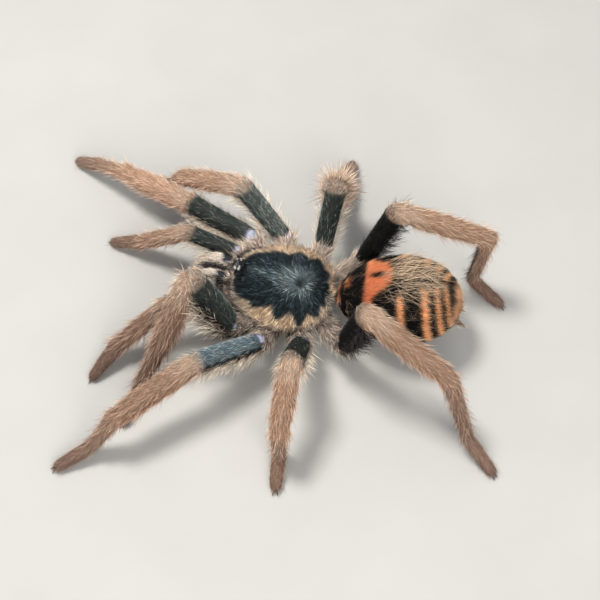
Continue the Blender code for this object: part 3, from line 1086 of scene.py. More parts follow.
    # -- limbs and jaws --
    def femur_tone(self) -> Array:
        """Colour the femora's velvet: dark, with a painted teal sheen on the back, brown below, black on
        the last pair.

        Returns:
            The colours.
        """
        chart = self.chart
        back = step(0.0, 0.95, chart.back + 0.15 * self.jagged(1.5 * MM, 8.0))
        # Painted sheen: the backs of the femora are painted paler by each limb's share, and the left
        # second femur is painted bluer, as the light's sheen on them.
        sheen_share = chart.by_limb(PAINTED_SHEEN, OTHER_PAINTED_SHEEN)
        tone = mix(Hue.FEMUR.light, Hue.FEMUR_BACK.light, sheen_share * back)
        tone = tinted(tone, Hue.FEMUR_BLUE, chart.on_limb("leg_2_left") * back)
        tone = tinted(tone, Hue.FEMUR_BELLY, step(0.1, -0.6, chart.back))
        tone = tinted(tone, Hue.FEMUR_BLACK, chart.on_limb("leg_4").astype(float))
        collar = step(1.1 * MM, 0.2 * MM, chart.length - chart.reach)
        return tinted(tone, Hue.KNEE, 0.55 * collar)

    def shank_tone(self) -> Array:
        """Colour the legs from the knee to the foot: cream, tan, then red-brown, darker below.

        Returns:
            The colours.
        """
        chart = self.chart
        back = step(-0.6, 0.8, chart.back + 0.2 * self.jagged(1.8 * MM, 2.0))
        tone = mix(Hue.TAN_ROSE.light, Hue.TAN_PALE.light, back)
        tone = tinted(tone, Hue.TAN, 0.45)
        # Partly painted shade: some limbs are painted browner and darker than the rest, partly their own
        # browner colour.
        tone = tinted(tone, Hue.TAN_BROWN, chart.by_limb(BROWN_AND_SHADE, OTHER_BROWN_AND_SHADE))
        knee = np.where(chart.on(Part.PATELLA), step(0.75, 0.2, chart.along), 0)
        tone = tinted(tone, Hue.KNEE, 0.75 * knee * step(-0.2, 0.5, chart.back))
        foot = np.where(chart.on(Part.METATARSUS), 0.1 + 0.4 * chart.along, 0)
        foot = np.where(chart.on(Part.TARSUS), 0.5 + 0.35 * chart.along, foot)
        tone = tinted(tone, Hue.FOOT, foot)
        pad = chart.on(Part.METATARSUS, Part.TARSUS) * step(-0.35, -0.8, chart.back)
        return tinted(tone, Hue.SOLE, 0.85 * pad)

    def jaw_tone(self) -> Array:
        """The colours of the jaws: beige, with grey-black bare places at their base."""
        tone = mix(Hue.JAW.light, Hue.TAN_BROWN.light, 0.5 * step(0.2, -0.6, self.chart.back))
        return tinted(tone, Hue.JAW_BARE, self.jaw_bare())

    def fur_tone(self) -> Array:
        """Colour the short coat everywhere.

        Returns:
            The colours.
        """
        chart = self.chart
        streak = step(-0.15, 0.25, self.jagged(0.9 * MM, 6.0))
        near = np.where(chart.points[:, 0] > 0, 0.85, 0.2)
        tone = mix(Hue.HIP.light, Hue.BRISTLE.light, near * streak)
        low = chart.on(Part.HIP, Part.STERNUM, Part.PEDICEL, Part.CARAPACE)
        tone = tinted(tone, Hue.BELLY, 0.8 * (low & (chart.normals[:, 2] < -0.2)))
        top = chart.on(Part.CARAPACE) & (chart.normals[:, 2] > -0.1)
        for where, own in (
            (chart.on(Part.STERNUM), Hue.BELLY.light),
            (top, self.carapace_tone()),
            (chart.on(Part.MOUND), Hue.CARAPACE.light),
            (chart.on(Part.ABDOMEN), self.abdomen_tone()),
            (chart.on(Part.SPINNERET), Hue.TAN_BROWN.light),
            (chart.on(Part.FEMUR), self.femur_tone()),
            (chart.on(*SHANK), self.shank_tone()),
            (chart.on(Part.JAW), self.jaw_tone()),
        ):
            tone = place(tone, where, own)
        return tone

    # -- bare places --
    def jaw_bare(self) -> Array:
        """Find the bare dark place on the outer base of each jaw.

        Returns:
            How bare the points are, as a share.
        """
        out = np.abs(carapace_place(self.chart.points)[0])
        base = step(0.72, 0.79, self.chart.along) * step(0.6 * MM, 1.0 * MM, out)
        return np.where(self.chart.on(Part.JAW), base, 0)

    def hip_caps(self, low: float = 0.3, high: float = 0.6) -> Array:
        """Find the bald glossy cap over the root of each femur.

        Args:
            low: Where the cap begins; a higher range gives its middle.
            high: Where it is full.

        Returns:
            How bald the points are, as a share.
        """
        chart = self.chart
        fore = bump(chart.length - chart.reach, 0, 0.7 * MM) * chart.on(Part.HIP)
        behind = bump(chart.reach, 0, 1.0 * MM) * chart.on(Part.FEMUR)
        cap = np.maximum(fore, behind) * step(0.4, 0.85, chart.back)
        return step(low, high, cap) * ~chart.on_limb("leg_4")

    def mound(self) -> Array:
        """The glossy mound that carries the eyes, as a share."""
        top = self.chart.on(Part.MOUND, Part.CARAPACE) & (self.chart.normals[:, 2] > 0)
        return np.where(top, step(1.12, 0.98, mound_share(self.chart.points)), 0)

    def bare(self) -> Array:
        """How bald the skin is, as a share."""
        return np.clip(self.hip_caps() + self.jaw_bare() + self.mound(), 0, 1)

    def bald_lines(self) -> Array:
        """Find the two bald lines along the back of every knee and shin.

        Returns:
            How bald the points are, as a share.
        """
        chart = self.chart
        line = bump(np.degrees(np.abs(chart.angle)), 21, 5.5)
        knee = chart.on(Part.PATELLA) * step(0.1, 0.3, chart.along)
        shin = chart.on(Part.TIBIA) * step(0.75, 0.35, chart.along)
        return line * (knee + 0.8 * shin)

    def skin_tone(self) -> Array:
        """Colour the hide: as the coat, painted deeper as the shade of the coat over it, and lilac or
        black where it is bald, each lilac cap with a painted highlight in its middle.

        Returns:
            The colours.
        """
        # Painted shade: the hide under the coat is painted darker than the coat, and darker still
        # between the hips; the abdomen's is not.
        shade = np.where(self.chart.on(Part.ABDOMEN), 1.0, HIDE_SHADE)
        shade = np.where(self.chart.on(Part.HIP), 0.5 * HIDE_SHADE, shade)
        tone = self.skin.spread(self.fur_tone(), 1) * shade[:, None]
        tone = tinted(tone, Hue.SLATE, self.hip_caps())
        # Painted highlight: the middle of each cap is painted pale lilac, as the gloss on it; the slate
        # round it is the cap's own colour.
        tone = tinted(tone, Hue.LILAC, self.hip_caps(0.6, 0.95))
        tone = tinted(tone, Hue.BLACK, self.mound())
        return tinted(tone, Hue.JAW_BARE, self.jaw_bare())

    # -- the kinds of strand --
    def lie(self) -> Array:
        """Find the direction in which the coat lies, along the skin.

        Returns:
            The directions.
        """
        chart = self.chart
        x, y, _, _ = carapace_place(chart.points)
        _, left, back = carapace_axes()
        out = np.zeros((len(x), 3))
        out[:, :2] = unit(x[:, None] * left + y[:, None] * back)
        lie = place(chart.way, chart.on(Part.CARAPACE, Part.MOUND), out)
        lie = place(lie, chart.on(Part.JAW), np.array((0.0, -1.0, -0.25)))
        lie = self.skin.spread(lie, 6)
        return unit(lie - chart.normals * (lie * chart.normals).sum(1)[:, None])

    def evenly(self, length: float, lift: float, tone: Array) -> Pelage:
        """Strands of one length in mm and one lift in degrees, with no cover yet."""
        blank = np.zeros(len(self.chart.points))
        return Pelage(blank, blank + length * MM, blank + np.radians(lift), self.lie(), tone)

    def fur(self) -> Pelage:
        """Make the short coat.

        Returns:
            Its strands.
        """
        chart = self.chart
        share = carapace_place(chart.points)[2]
        fovea = chart.on(Part.CARAPACE) & (chart.normals[:, 2] > 0)
        cover = (1 - self.bare()) * (1 - 0.85 * self.bald_lines())
        cover *= np.where(fovea, step(0.02, 0.07, share), 1)
        length, lift = np.array([(NAPS[part].length, NAPS[part].lift) for part in Part])[chart.part].T
        fur = Pelage(cover, length * MM, np.radians(lift), self.lie(), self.fur_tone())
        fur.set(chart.on_limb("leg_3_right") & chart.on(Part.PATELLA), length=1.5, lift=58)
        fur.length = fur.length * (1 + 0.35 * (chart.on(Part.CARAPACE) * self.margin_share()))
        pad = chart.on(Part.METATARSUS, Part.TARSUS) & (chart.back < -0.4)
        fur.set(pad, length=0.45, lift=60)
        return fur

    def bristles(self) -> Pelage:
        """Make the long hairs that stand out of the coat.

        Returns:
            Their strands.
        """
        chart = self.chart
        uneven = self.jagged(3 * MM, 9.0)
        femur = chart.on(Part.FEMUR)
        brown = step(-0.2, 0.3, self.jagged(0.8 * MM, 31.0)) * chart.on_limb("leg_1_left")
        brown = np.where(chart.on_limb("leg_4"), 1, 0.85 * brown) * femur
        hair = self.evenly(1.5, 40, mix(Hue.FRINGE.light, Hue.BRISTLE.light, brown))
        below = step(0.25, -0.45, chart.back)
        fringe = np.where(chart.on_limb("leg_1_left"), 2.3, 1.5) * below
        femur_cover = (0.08 + 0.7 * below) * (1 - self.hip_caps())
        hair.set(femur, femur_cover, 1.0 + fringe + 0.3 * uneven, 30 + 24 * below)

        shank = chart.on(Part.PATELLA, Part.TIBIA, Part.METATARSUS)
        shaggy = 0.45 * chart.on_limb("leg_1_left", "palp_left")
        rise = np.where(chart.on(Part.PATELLA), 32, 40)
        hair.set(shank, 0.55 + 0.1 * uneven, 1.7 + shaggy + 0.3 * uneven, rise)
        hair.set(chart.on(Part.TARSUS), 0.45, 1.15)
        # The brown and painted shade of those limbs darkens their long hairs too.
        pale = {limb: PALE_HAIRS - 0.35 * share for limb, share in BROWN_AND_SHADE.items()}
        tone = tinted(self.shank_tone(), Hue.FRINGE, chart.by_limb(pale, PALE_HAIRS))
        hair.tone = place(hair.tone, chart.on(*SHANK), tone)
        hair.set(chart.on_limb("leg_3_right") & chart.on(Part.PATELLA), 1, 3.1, 64)

        near = np.where(chart.points[:, 0] > 0, 0.95, 0.35)
        dark = near * step(-0.12, 0.04, self.jagged(0.9 * MM, 12.0))
        hip = chart.on(Part.HIP)
        hair.set(hip, 1 - self.hip_caps(), 2.2, 38)
        hair.tone = place(hair.tone, hip, mix(Hue.FRINGE.light, Hue.BRISTLE.light, dark))
        aside = np.abs(carapace_place(chart.points)[3]) > math.radians(38)
        margin = chart.on(Part.CARAPACE) & (np.abs(chart.normals[:, 2]) < 0.75) & aside
        hair.set(margin, 1.0, 1.9, 20)
        hair.tone = place(hair.tone, margin, tinted(hair.tone, Hue.BRISTLE, 0.8 * dark))
        hair.set(chart.on(Part.JAW), 0.75 * step(0.6, 0.1, chart.along), 2.4, 24)
        hair.set(chart.on(Part.SPINNERET), 1.0, 1.2)
        hair.cover = hair.cover * step(1.2, 1.7, mound_share(chart.points))
        return hair

    def streamers(self) -> Pelage:
        """Make the long hairs of the abdomen, that stream backwards.

        Returns:
            Their strands.
        """
        chart, turn = self.chart, self.abdomen_turn()
        crest = step(52, 26, turn) * step(0.3, 0.44, chart.along) * step(0.82, 0.66, chart.along)
        cover = np.where(chart.on(Part.ABDOMEN), 0.3 + 0.7 * crest, 0)
        length = (1.7 + 2.4 * crest + 0.5 * self.jagged(2 * MM, 4.0)) * MM
        lift = np.where(turn < 60, 21, 28) + 12 * step(0.75, 0.95, chart.along)
        pale = step(-0.6, 0.0, self.jagged(0.9 * MM, 3.0))
        tone = mix(Hue.BRISTLE.light, Hue.STREAMER.light, pale)
        tone = tinted(tone, Hue.STREAMER, 0.7 * crest + 0.5 * step(60, 90, turn))
        lie = self.lie()
        sway = self.jagged(2.6 * MM, 15.0)[:, None] * np.cross(chart.normals, lie)
        return Pelage(cover, length, np.radians(lift), unit(lie + 1.3 * sway), tone)

    def streaks(self) -> Pelage:
        """Make the paler, stouter hairs scattered in the dark coat.

        Returns:
            Their strands.
        """
        chart, fur = self.chart, self.fur()
        carapace, femur = chart.on(Part.CARAPACE), chart.on(Part.FEMUR)
        pale = np.clip(4.0 * fur.tone + 0.014, 0, 0.4)
        tone = place(pale, (fur.tone.sum(1) > 0.45) & carapace, 1.15 * fur.tone)
        share = carapace_place(chart.points)[2]
        cover = fur.cover * (0.75 + 0.25 * self.jagged(1.5 * MM, 21.0))
        cover *= np.where(carapace, 0.45 + 0.55 * step(0.75, 0.35, share), 0.4)
        cover *= np.where(femur, step(-0.6, 0.2, chart.back), 1)
        cover *= np.where(chart.on_limb("leg_4", "leg_1_right", "palp"), 0.25, 1)
        lines = bump(np.degrees(np.abs(chart.angle)), 22, 7) * step(0.05, 0.2, chart.along)
        lines *= femur & chart.on_limb("leg_2")
        length = np.where(lines > 0.3, 0.5 * MM, np.where(carapace, 1.15, 0.95) * MM)
        tone = tinted(tone, Hue.FRINGE, 0.8 * lines)
        return Pelage(np.maximum(cover, lines), length, 1.15 * fur.lift, fur.lie, tone)

    def combs(self) -> Pelage:
        """Make the dark bristles in rows: between the jaws, on them, and over the front edge.

        Returns:
            Their strands.
        """
        chart, jaw = self.chart, self.chart.on(Part.JAW)
        x, _, share, turn = carapace_place(chart.points)
        out = np.abs(x)
        seam = jaw * step(0.75 * MM, 0.5 * MM, out) * step(-0.2, 0.3, chart.normals[:, 2])
        waves = bump(np.cos(out * 2 * math.pi / (1.1 * MM)), 1, 0.5)
        rows = jaw * waves * step(1.2 * MM, 1.8 * MM, out)
        brow = chart.on(Part.CARAPACE) * step(0.86, 0.93, share) * (np.abs(turn) < math.radians(34))
        cover = np.maximum(np.maximum(seam, 0.5 * rows * step(0.2, 0.6, chart.along)), 0.6 * brow)
        comb = self.evenly(1.1, 34, np.tile(Hue.BRISTLE.light, (len(out), 1)))
        comb.cover = cover * step(1.2, 1.6, mound_share(chart.points))
        return comb


# ---- node trees ----
@dataclass
class NodeWriter:
    """Adds nodes to a tree, sets them and links them."""

    tree: NodeTree

    def set(self, node: Node, inputs: dict) -> None:
        """Set a node's inputs.

        Args:
            node: The node.
            inputs: For an input's name, identifier or index, a value or another node's output.
        """
        for key, value in inputs.items():
            socket = self.find(node.inputs, key)
            if isinstance(value, Socket):
                self.tree.links.new(value, socket)
            else:
                socket.default_value = value

    def add(self, kind: str, settings: dict | None = None, inputs: dict | None = None) -> Node:
        """Add a node.

        Args:
            kind: The node's type.
            settings: Values of its own properties.
            inputs: As for set.

        Returns:
            The node.
        """
        node = self.tree.nodes.new(kind)
        for name, value in (settings or {}).items():
            setattr(node, name, value)
        self.set(node, inputs or {})
        return node

    @staticmethod
    def find(sockets: Sequence[Socket], key: str | int) -> Socket:
        """The socket with this identifier, name or index."""
        named = [socket for socket in sockets if socket.identifier == key]
        return named[0] if named else sockets[key]

    def sockets(self, side: str, kinds: dict[str, str]) -> None:
        """Add sockets to a node group, on its INPUT or OUTPUT side, by their names and types."""
        for name, kind in kinds.items():
            self.tree.interface.new_socket(name=name, in_out=side, socket_type=f"NodeSocket{kind}")

    def math(self, operation: str, one: Socket | float, two: Socket | float = 0.0) -> Socket:
        """The output of a Math node."""
        return self.add("ShaderNodeMath", {"operation": operation}, {0: one, 1: two}).outputs[0]

    def plus(self, one: Socket | float, two: Socket | float) -> Socket:
        """The sum of two numbers."""
        return self.math("ADD", one, two)

    def times(self, one: Socket | float, two: Socket | float) -> Socket:
        """The product of two numbers."""
        return self.math("MULTIPLY", one, two)

    def vectors(self, operation: str, one: Socket, two: Socket) -> Socket:
        """The output of a Vector Math node; two is a number where the operation is SCALE."""
        key = "Scale" if operation == "SCALE" else 1
        return self.add("ShaderNodeVectorMath", {"operation": operation}, {0: one, key: two}).outputs[0]

    def vector(self, x: Socket | float, y: Socket | float, z: Socket | float = 0.0) -> Socket:
        """A vector of three numbers."""
        return self.add("ShaderNodeCombineXYZ", inputs={"X": x, "Y": y, "Z": z}).outputs[0]


@dataclass
class StrandTree:
    """The Geometry Nodes tree that grows strands on the skin.

    Where they grow, how long they are, how they lie and their colour are read from the attributes
    that Coat writes; the numbers of a layer are the tree's inputs.
    """

    seed_step: int = 101
    bends: tuple[float, ...] = (1.5, 1.0, 0.55)  # how much of the layer's curl its strands take
    fullness: float = 0.55  # how much thicker a strand is in the middle than a plain spike
    root_depth: float = 0.03  # share of its length that is in the skin
    floor: float = 0.02 * MM  # nothing reaches below this height
    pen: NodeWriter | None = None
    given: NodeOutputs | None = None

    def attribute(self, name: str, kind: str = "FLOAT") -> Socket:
        """The output of a node that reads an attribute of the skin."""
        reader = self.pen.add("GeometryNodeInputNamedAttribute", {"data_type": kind}, {"Name": name})
        return reader.outputs["Attribute"]

    def random(self, low: float, high: float, turn: int) -> Socket:
        """Draw a random number for each strand.

        Args:
            low: The least.
            high: The greatest.
            turn: Which of the strand's draws it is.

        Returns:
            The output.
        """
        seed = self.pen.plus(self.given["Seed"], float(turn * self.seed_step))
        limits = {"Min_001": low, "Max_001": high, "Seed": seed}
        node = self.pen.add("FunctionNodeRandomValue", {"data_type": "FLOAT"}, limits)
        return self.pen.find(node.outputs, "Value_001")

    def change(self, kind: str, geometry: Socket, inputs: dict | None = None, **settings: str) -> Socket:
        """The geometry after one more node, with that node's other inputs and its settings."""
        return self.pen.add(kind, settings, {0: geometry, **(inputs or {})}).outputs[0]

    def store(
        self, geometry: Socket, name: str, value: Socket, kind: str = "FLOAT", **settings: str
    ) -> Socket:
        """Store an attribute.

        Args:
            geometry: The geometry.
            name: The attribute's name.
            value: Its values.
            kind: Their type.
            settings: The domain, if it isn't the points.

        Returns:
            The geometry with the attribute.
        """
        settings = {"data_type": kind, "domain": "POINT", **settings}
        inputs = {"Name": name, "Value": value}
        return self.change("GeometryNodeStoreNamedAttribute", geometry, inputs, **settings)

    def place(self) -> NodeOutputs:
        """The outputs X, Y and Z of the place of each point."""
        place = self.pen.add("GeometryNodeInputPosition").outputs[0]
        return self.pen.add("ShaderNodeSeparateXYZ", inputs={0: place}).outputs

    def strand(self, bend: float) -> Socket:
        """Make a strand of unit length: a thin three-sided spike, bent back towards the skin.

        Args:
            bend: How much of the layer's curl it takes.

        Returns:
            Its geometry, as an instance.
        """
        pen, given = self.pen, self.given
        size = {
            "Vertices": 3,
            "Side Segments": given["Rings"],
            "Radius Top": 0.0,
            "Radius Bottom": given["Girth"],
            "Depth": 1.0,
        }
        spike = pen.add("GeometryNodeMeshCone", {"fill_type": "NGON"}, size).outputs["Mesh"]
        place = self.place()
        height = place["Z"]
        spike = self.store(spike, "along", height)
        spike = self.store(spike, "edge", pen.math("DIVIDE", place["Y"], given["Girth"]))
        fuller = pen.plus(1.0, pen.times(pen.math("SINE", pen.times(height, math.pi)), self.fullness))
        bent = pen.times(pen.math("POWER", height, 1.8), pen.times(given["Curl"], -bend))
        x = pen.plus(pen.times(place["X"], fuller), bent)
        y = pen.times(place["Y"], fuller)
        shape = pen.vector(x, y, pen.math("SUBTRACT", height, self.root_depth))
        spike = self.change("GeometryNodeSetPosition", spike, {"Position": shape})
        return self.change("GeometryNodeGeometryToInstance", spike)

    def turned(self, normal: Socket) -> Socket:
        """Turn the strands: along the lie of the coat, lifted and scattered a little.

        Args:
            normal: The skin's normal.

        Returns:
            Their rotation.
        """
        pen = self.pen
        sway = pen.times(self.random(-1.0, 1.0, 1), self.given["Spread"])
        inputs = {"Vector": self.attribute("lie", "FLOAT_VECTOR"), "Axis": normal, "Angle": sway}
        lie = pen.add("ShaderNodeVectorRotate", {"rotation_type": "AXIS_ANGLE"}, inputs).outputs[0]
        lift = pen.times(self.attribute("lift"), self.random(0.6, 1.4, 2))
        forward = pen.vectors("SCALE", lie, pen.math("COSINE", lift))
        outward = pen.vectors("SCALE", normal, pen.math("SINE", lift))
        way = pen.vectors("ADD", forward, outward)
        axes = {"primary_axis": "Z", "secondary_axis": "X"}
        inputs = {"Primary Axis": way, "Secondary Axis": normal}
        return pen.add("FunctionNodeAxesToRotation", axes, inputs).outputs[0]

    def grown(self) -> Socket:
        """Scatter the strands on the skin.

        Returns:
            Their real geometry.
        """
        pen, given = self.pen, self.given
        places = {
            "Mesh": given["Skin"],
            "Selection": self.attribute("here", "BOOLEAN"),
            "Density": pen.times(self.attribute("cover"), given["Density"]),
            "Seed": given["Seed"],
        }
        random = {"distribute_method": "RANDOM"}
        scatter = pen.add("GeometryNodeDistributePointsOnFaces", random, places).outputs
        roots = self.store(scatter["Points"], "tint", self.random(0.0, 1.0, 3))
        roots = self.store(roots, "root", self.attribute(UV_NAME, "FLOAT_VECTOR"), "FLOAT_VECTOR")
        strands = pen.add("GeometryNodeJoinGeometry")
        for bend in self.bends:
            pen.set(strands, {0: self.strand(bend)})
        vary = pen.plus(1.0, pen.times(self.random(-1.0, 1.0, 4), given["Unevenness"]))
        inputs = {
            "Instance": strands.outputs[0],
            "Pick Instance": True,
            "Instance Index": pen.math("FLOOR", self.random(0.0, 2.999, 5)),
            "Rotation": self.turned(scatter["Normal"]),
            "Scale": pen.times(self.attribute("length"), vary),
        }
        coat = self.change("GeometryNodeInstanceOnPoints", roots, inputs)
        return self.change("GeometryNodeRealizeInstances", coat)

    def build(self) -> NodeTree:
        """Write the tree once.

        Returns:
            The tree.
        """
        if self.pen:
            return self.pen.tree
        pen = self.pen = NodeWriter(bpy.data.node_groups.new("strands", "GeometryNodeTree"))
        pen.sockets("INPUT", {"Skin": "Geometry"})
        floats = ("Density", "Girth", "Curl", "Spread", "Unevenness")
        pen.sockets("INPUT", dict.fromkeys(floats, "Float"))
        pen.sockets("INPUT", {"Rings": "Int", "Seed": "Int", "Finish": "Material"})
        pen.sockets("OUTPUT", {"Coat": "Geometry"})
        self.given = pen.add("NodeGroupInput").outputs
        coat = self.grown()

        across = pen.math("SUBTRACT", self.attribute("along"), 0.5)
        patch = pen.vector(across, pen.times(self.attribute("edge"), 0.5))
        root = self.attribute("root", "FLOAT_VECTOR")
        spot = pen.vectors("ADD", root, pen.vectors("SCALE", patch, TUFT_PATCH))
        for name in (UV_NAME, "lie", "lift", "length", "cover", "here"):
            coat = self.change("GeometryNodeRemoveAttribute", coat, {"Name": name})
        coat = self.store(coat, UV_NAME, spot, "FLOAT2", domain="CORNER")
        for name in ("root", "edge"):
            coat = self.change("GeometryNodeRemoveAttribute", coat, {"Name": name})
        place = self.place()
        height = pen.math("MAXIMUM", place["Z"], self.floor)
        over_floor = pen.vector(place["X"], place["Y"], height)
        coat = self.change("GeometryNodeSetPosition", coat, {"Position": over_floor})
        coat = self.change("GeometryNodeSetShadeSmooth", coat)
        coat = self.change("GeometryNodeSetMaterial", coat, {"Material": self.given["Finish"]})
        pen.add("NodeGroupOutput", inputs={0: coat})
        return pen.tree


# ---- finishes ----
class Effect(Enum):
    """The shader groups that the finishes share, by the names of their node trees."""

    STRAND = "strand colour"
    HIDE = "hide grain"
    HORN = "horn cloud"


EFFECT_SOCKETS = {
    Effect.STRAND: (
        {"Tone": "Color", "Along": "Float", "Tint": "Float"}
        | dict.fromkeys(("Root", "Tip", "Variety", "Glint"), "Float"),
        {"Colour": "Color"},
    ),
    Effect.HIDE: (
        {"Place": "Vector", "Tone": "Color", "Bare": "Float", "Gloss": "Float"},
        {"Colour": "Color", "Roughness": "Float", "Height": "Float"},
    ),
    Effect.HORN: (
        {"Place": "Vector", "Near": "Color", "Far": "Color", "Share": "Float", "Grain": "Float"}
        | {"Polish": "Float"},
        {"Colour": "Color", "Roughness": "Float"},
    ),
}


def noise(pen: NodeWriter, place: Socket, scale: float, detail: float) -> Socket:
    """The output of a Noise Texture node."""
    inputs = {"Vector": place, "Scale": scale, "Detail": detail}
    return pen.add("ShaderNodeTexNoise", inputs=inputs).outputs[0]


def blend(pen: NodeWriter, share: Socket, one: Socket | tuple, two: Socket | tuple) -> Socket:
    """The output of a Mix node for colours."""
    inputs = {"Factor_Float": share, "A_Color": one, "B_Color": two}
    return pen.find(pen.add("ShaderNodeMix", {"data_type": "RGBA"}, inputs).outputs, "Result_Color")


def strand_colour(pen: NodeWriter, given: NodeOutputs) -> dict[str, Socket]:
    """Colour a strand: darker at its root, painted as the shade deep in the coat, paler at its tip, and
    each one a little different.

    Args:
        pen: The group's writer.
        given: The group's inputs.

    Returns:
        What the group puts out.
    """
    # Painted shade: each strand is darker towards its root.
    grow = pen.math("POWER", given["Along"], 0.8)
    shade = pen.plus(given["Root"], pen.times(grow, pen.math("SUBTRACT", given["Tip"], given["Root"])))
    differ = pen.times(pen.math("SUBTRACT", given["Tint"], 0.5), given["Variety"])
    shade = pen.times(shade, pen.plus(1.0, differ))
    shade = pen.plus(shade, pen.times(pen.math("POWER", given["Tint"], 5.0), given["Glint"]))
    return {"Colour": pen.vectors("SCALE", given["Tone"], shade)}


def hide_grain(pen: NodeWriter, given: NodeOutputs) -> dict[str, Socket]:
    """Grain the hide: fine streaks along the limb, fewer where it is bald, and pores.

    Args:
        pen: The group's writer.
        given: The group's inputs.

    Returns:
        What the group puts out.
    """
    stretch = {"Vector": given["Place"], "Scale": (0.8, 7.0, 1.0)}
    streaks = noise(pen, pen.add("ShaderNodeMapping", inputs=stretch).outputs[0], 1.6, 3.0)
    pores = noise(pen, given["Place"], 3.5, 2.0)
    clad = pen.math("SUBTRACT", 1.0, given["Bare"])
    shade = pen.plus(0.7, pen.times(streaks, 0.6))
    rough = pen.plus(pen.times(clad, 0.42), given["Gloss"])
    return {
        "Colour": pen.vectors("SCALE", given["Tone"], shade),
        "Roughness": pen.plus(rough, pen.times(pores, 0.12)),
        "Height": pen.plus(pen.times(streaks, clad), pen.times(pores, 0.25)),
    }


def horn_cloud(pen: NodeWriter, given: NodeOutputs) -> dict[str, Socket]:
    """Cloud a hard part, whose colour changes along it from near to far.

    Args:
        pen: The group's writer.
        given: The group's inputs.

    Returns:
        What the group puts out.
    """
    cloud = noise(pen, given["Place"], 4000.0, 2.0)
    uneven = pen.times(pen.math("SUBTRACT", cloud, 0.5), given["Grain"])
    return {
        "Colour": blend(pen, pen.plus(given["Share"], uneven), given["Near"], given["Far"]),
        "Roughness": pen.plus(given["Polish"], pen.times(cloud, pen.times(given["Grain"], 0.5))),
    }


def shader_group(effect: Effect) -> NodeTree:
    """Write a shader group on first use.

    Args:
        effect: Which one.

    Returns:
        Its node tree.
    """
    if effect.value not in bpy.data.node_groups:
        pen = NodeWriter(bpy.data.node_groups.new(effect.value, "ShaderNodeTree"))
        for side, kinds in zip(("INPUT", "OUTPUT"), EFFECT_SOCKETS[effect]):
            pen.sockets(side, kinds)
        writers = {Effect.STRAND: strand_colour, Effect.HIDE: hide_grain, Effect.HORN: horn_cloud}
        given = pen.add("NodeGroupInput").outputs
        pen.add("NodeGroupOutput", inputs=writers[effect](pen, given))
    return bpy.data.node_groups[effect.value]


@dataclass(frozen=True)
class Finish:
    """A material that is made once, on first use."""

    name: str

    def material(self) -> Material:
        """Make the material, or find it.

        Returns:
            The material.
        """
        if self.name not in bpy.data.materials:
            material = bpy.data.materials.new(self.name)
            material.use_nodes = True
            pen = NodeWriter(material.node_tree)
            pen.set(material.node_tree.nodes["Principled BSDF"], self.look(pen))
        return bpy.data.materials[self.name]

    def look(self, pen: NodeWriter) -> dict:
        """The inputs of its Principled shader; every kind of finish has its own."""
        raise NotImplementedError

    @staticmethod
    def attribute(pen: NodeWriter, name: str, output: str = "Fac") -> Socket:
        """The output of a node that reads an attribute of the piece."""
        return pen.add("ShaderNodeAttribute", {"attribute_name": name}).outputs[output]

    @staticmethod
    def effect(pen: NodeWriter, effect: Effect, inputs: dict) -> NodeOutputs:
        """The outputs of a shader group placed in the material."""
        return pen.add("ShaderNodeGroup", {"node_tree": shader_group(effect)}, inputs).outputs


@dataclass(frozen=True)
class CoatFinish(Finish):
    """The look of a coat's strands."""

    # share of the tone at a strand's root, painted darker as the shade inside the coat
    root: float = 0.5
    tip: float = 1.25
    variety: float = 0.7
    glint: float = 0.0  # how much brighter a few of the strands are
    roughness: float = 0.5
    sheen: float = 0.1
    specular: float = 0.5

    def look(self, pen: NodeWriter) -> dict:
        """Colour the strands from the tones written on them.

        Args:
            pen: The material's writer.

        Returns:
            The inputs of its Principled shader.
        """
        inputs = {
            "Tone": self.attribute(pen, "tone", "Color"),
            "Along": self.attribute(pen, "along"),
            "Tint": self.attribute(pen, "tint"),
            "Root": self.root,
            "Tip": self.tip,
            "Variety": self.variety,
            "Glint": self.glint,
        }
        return {
            "Base Color": self.effect(pen, Effect.STRAND, inputs)["Colour"],
            "Roughness": self.roughness,
            "Sheen Weight": self.sheen,
            "Specular IOR Level": self.specular,
        }


@dataclass(frozen=True)
class HideFinish(Finish):
    """The look of the skin."""

    name: str = "hide"
    gloss: float = 0.13
    relief: float = 0.08 * MM

    def look(self, pen: NodeWriter) -> dict:
        """Grain the hide, over the tones written on it.

        Args:
            pen: The material's writer.

        Returns:
            The inputs of its Principled shader.
        """
        inputs = {
            "Place": self.attribute(pen, "grain", "Vector"),
            "Tone": self.attribute(pen, "tone", "Color"),
            "Bare": self.attribute(pen, "bare"),
            "Gloss": self.gloss,
        }
        grain = self.effect(pen, Effect.HIDE, inputs)
        relief = {"Strength": 0.5, "Distance": self.relief, "Height": grain["Height"]}
        return {
            "Base Color": grain["Colour"],
            "Roughness": grain["Roughness"],
            "Normal": pen.add("ShaderNodeBump", inputs=relief).outputs[0],
        }


@dataclass(frozen=True)
class HornFinish(Finish):
    """Smooth hard parts: eyes, fangs and claws; the share attribute runs from near to far."""

    near: tuple[float, float, float]
    far: tuple[float, float, float]
    roughness: float = 0.12
    coat: float = 0.6
    grain: float = 0.15

    def look(self, pen: NodeWriter) -> dict:
        """Run from the near colour to the far one, with a clear coat.

        Args:
            pen: The material's writer.

        Returns:
            The inputs of its Principled shader.
        """
        inputs = {
            "Place": pen.add("ShaderNodeTexCoord").outputs["Object"],
            "Share": self.attribute(pen, "share"),
            "Near": (*colour(*self.near), 1),
            "Far": (*colour(*self.far), 1),
            "Grain": self.grain,
            "Polish": self.roughness,
        }
        cloud = self.effect(pen, Effect.HORN, inputs)
        return {
            "Base Color": cloud["Colour"],
            "Roughness": cloud["Roughness"],
            "Coat Weight": self.coat,
            "Coat Roughness": 0.05,
        }


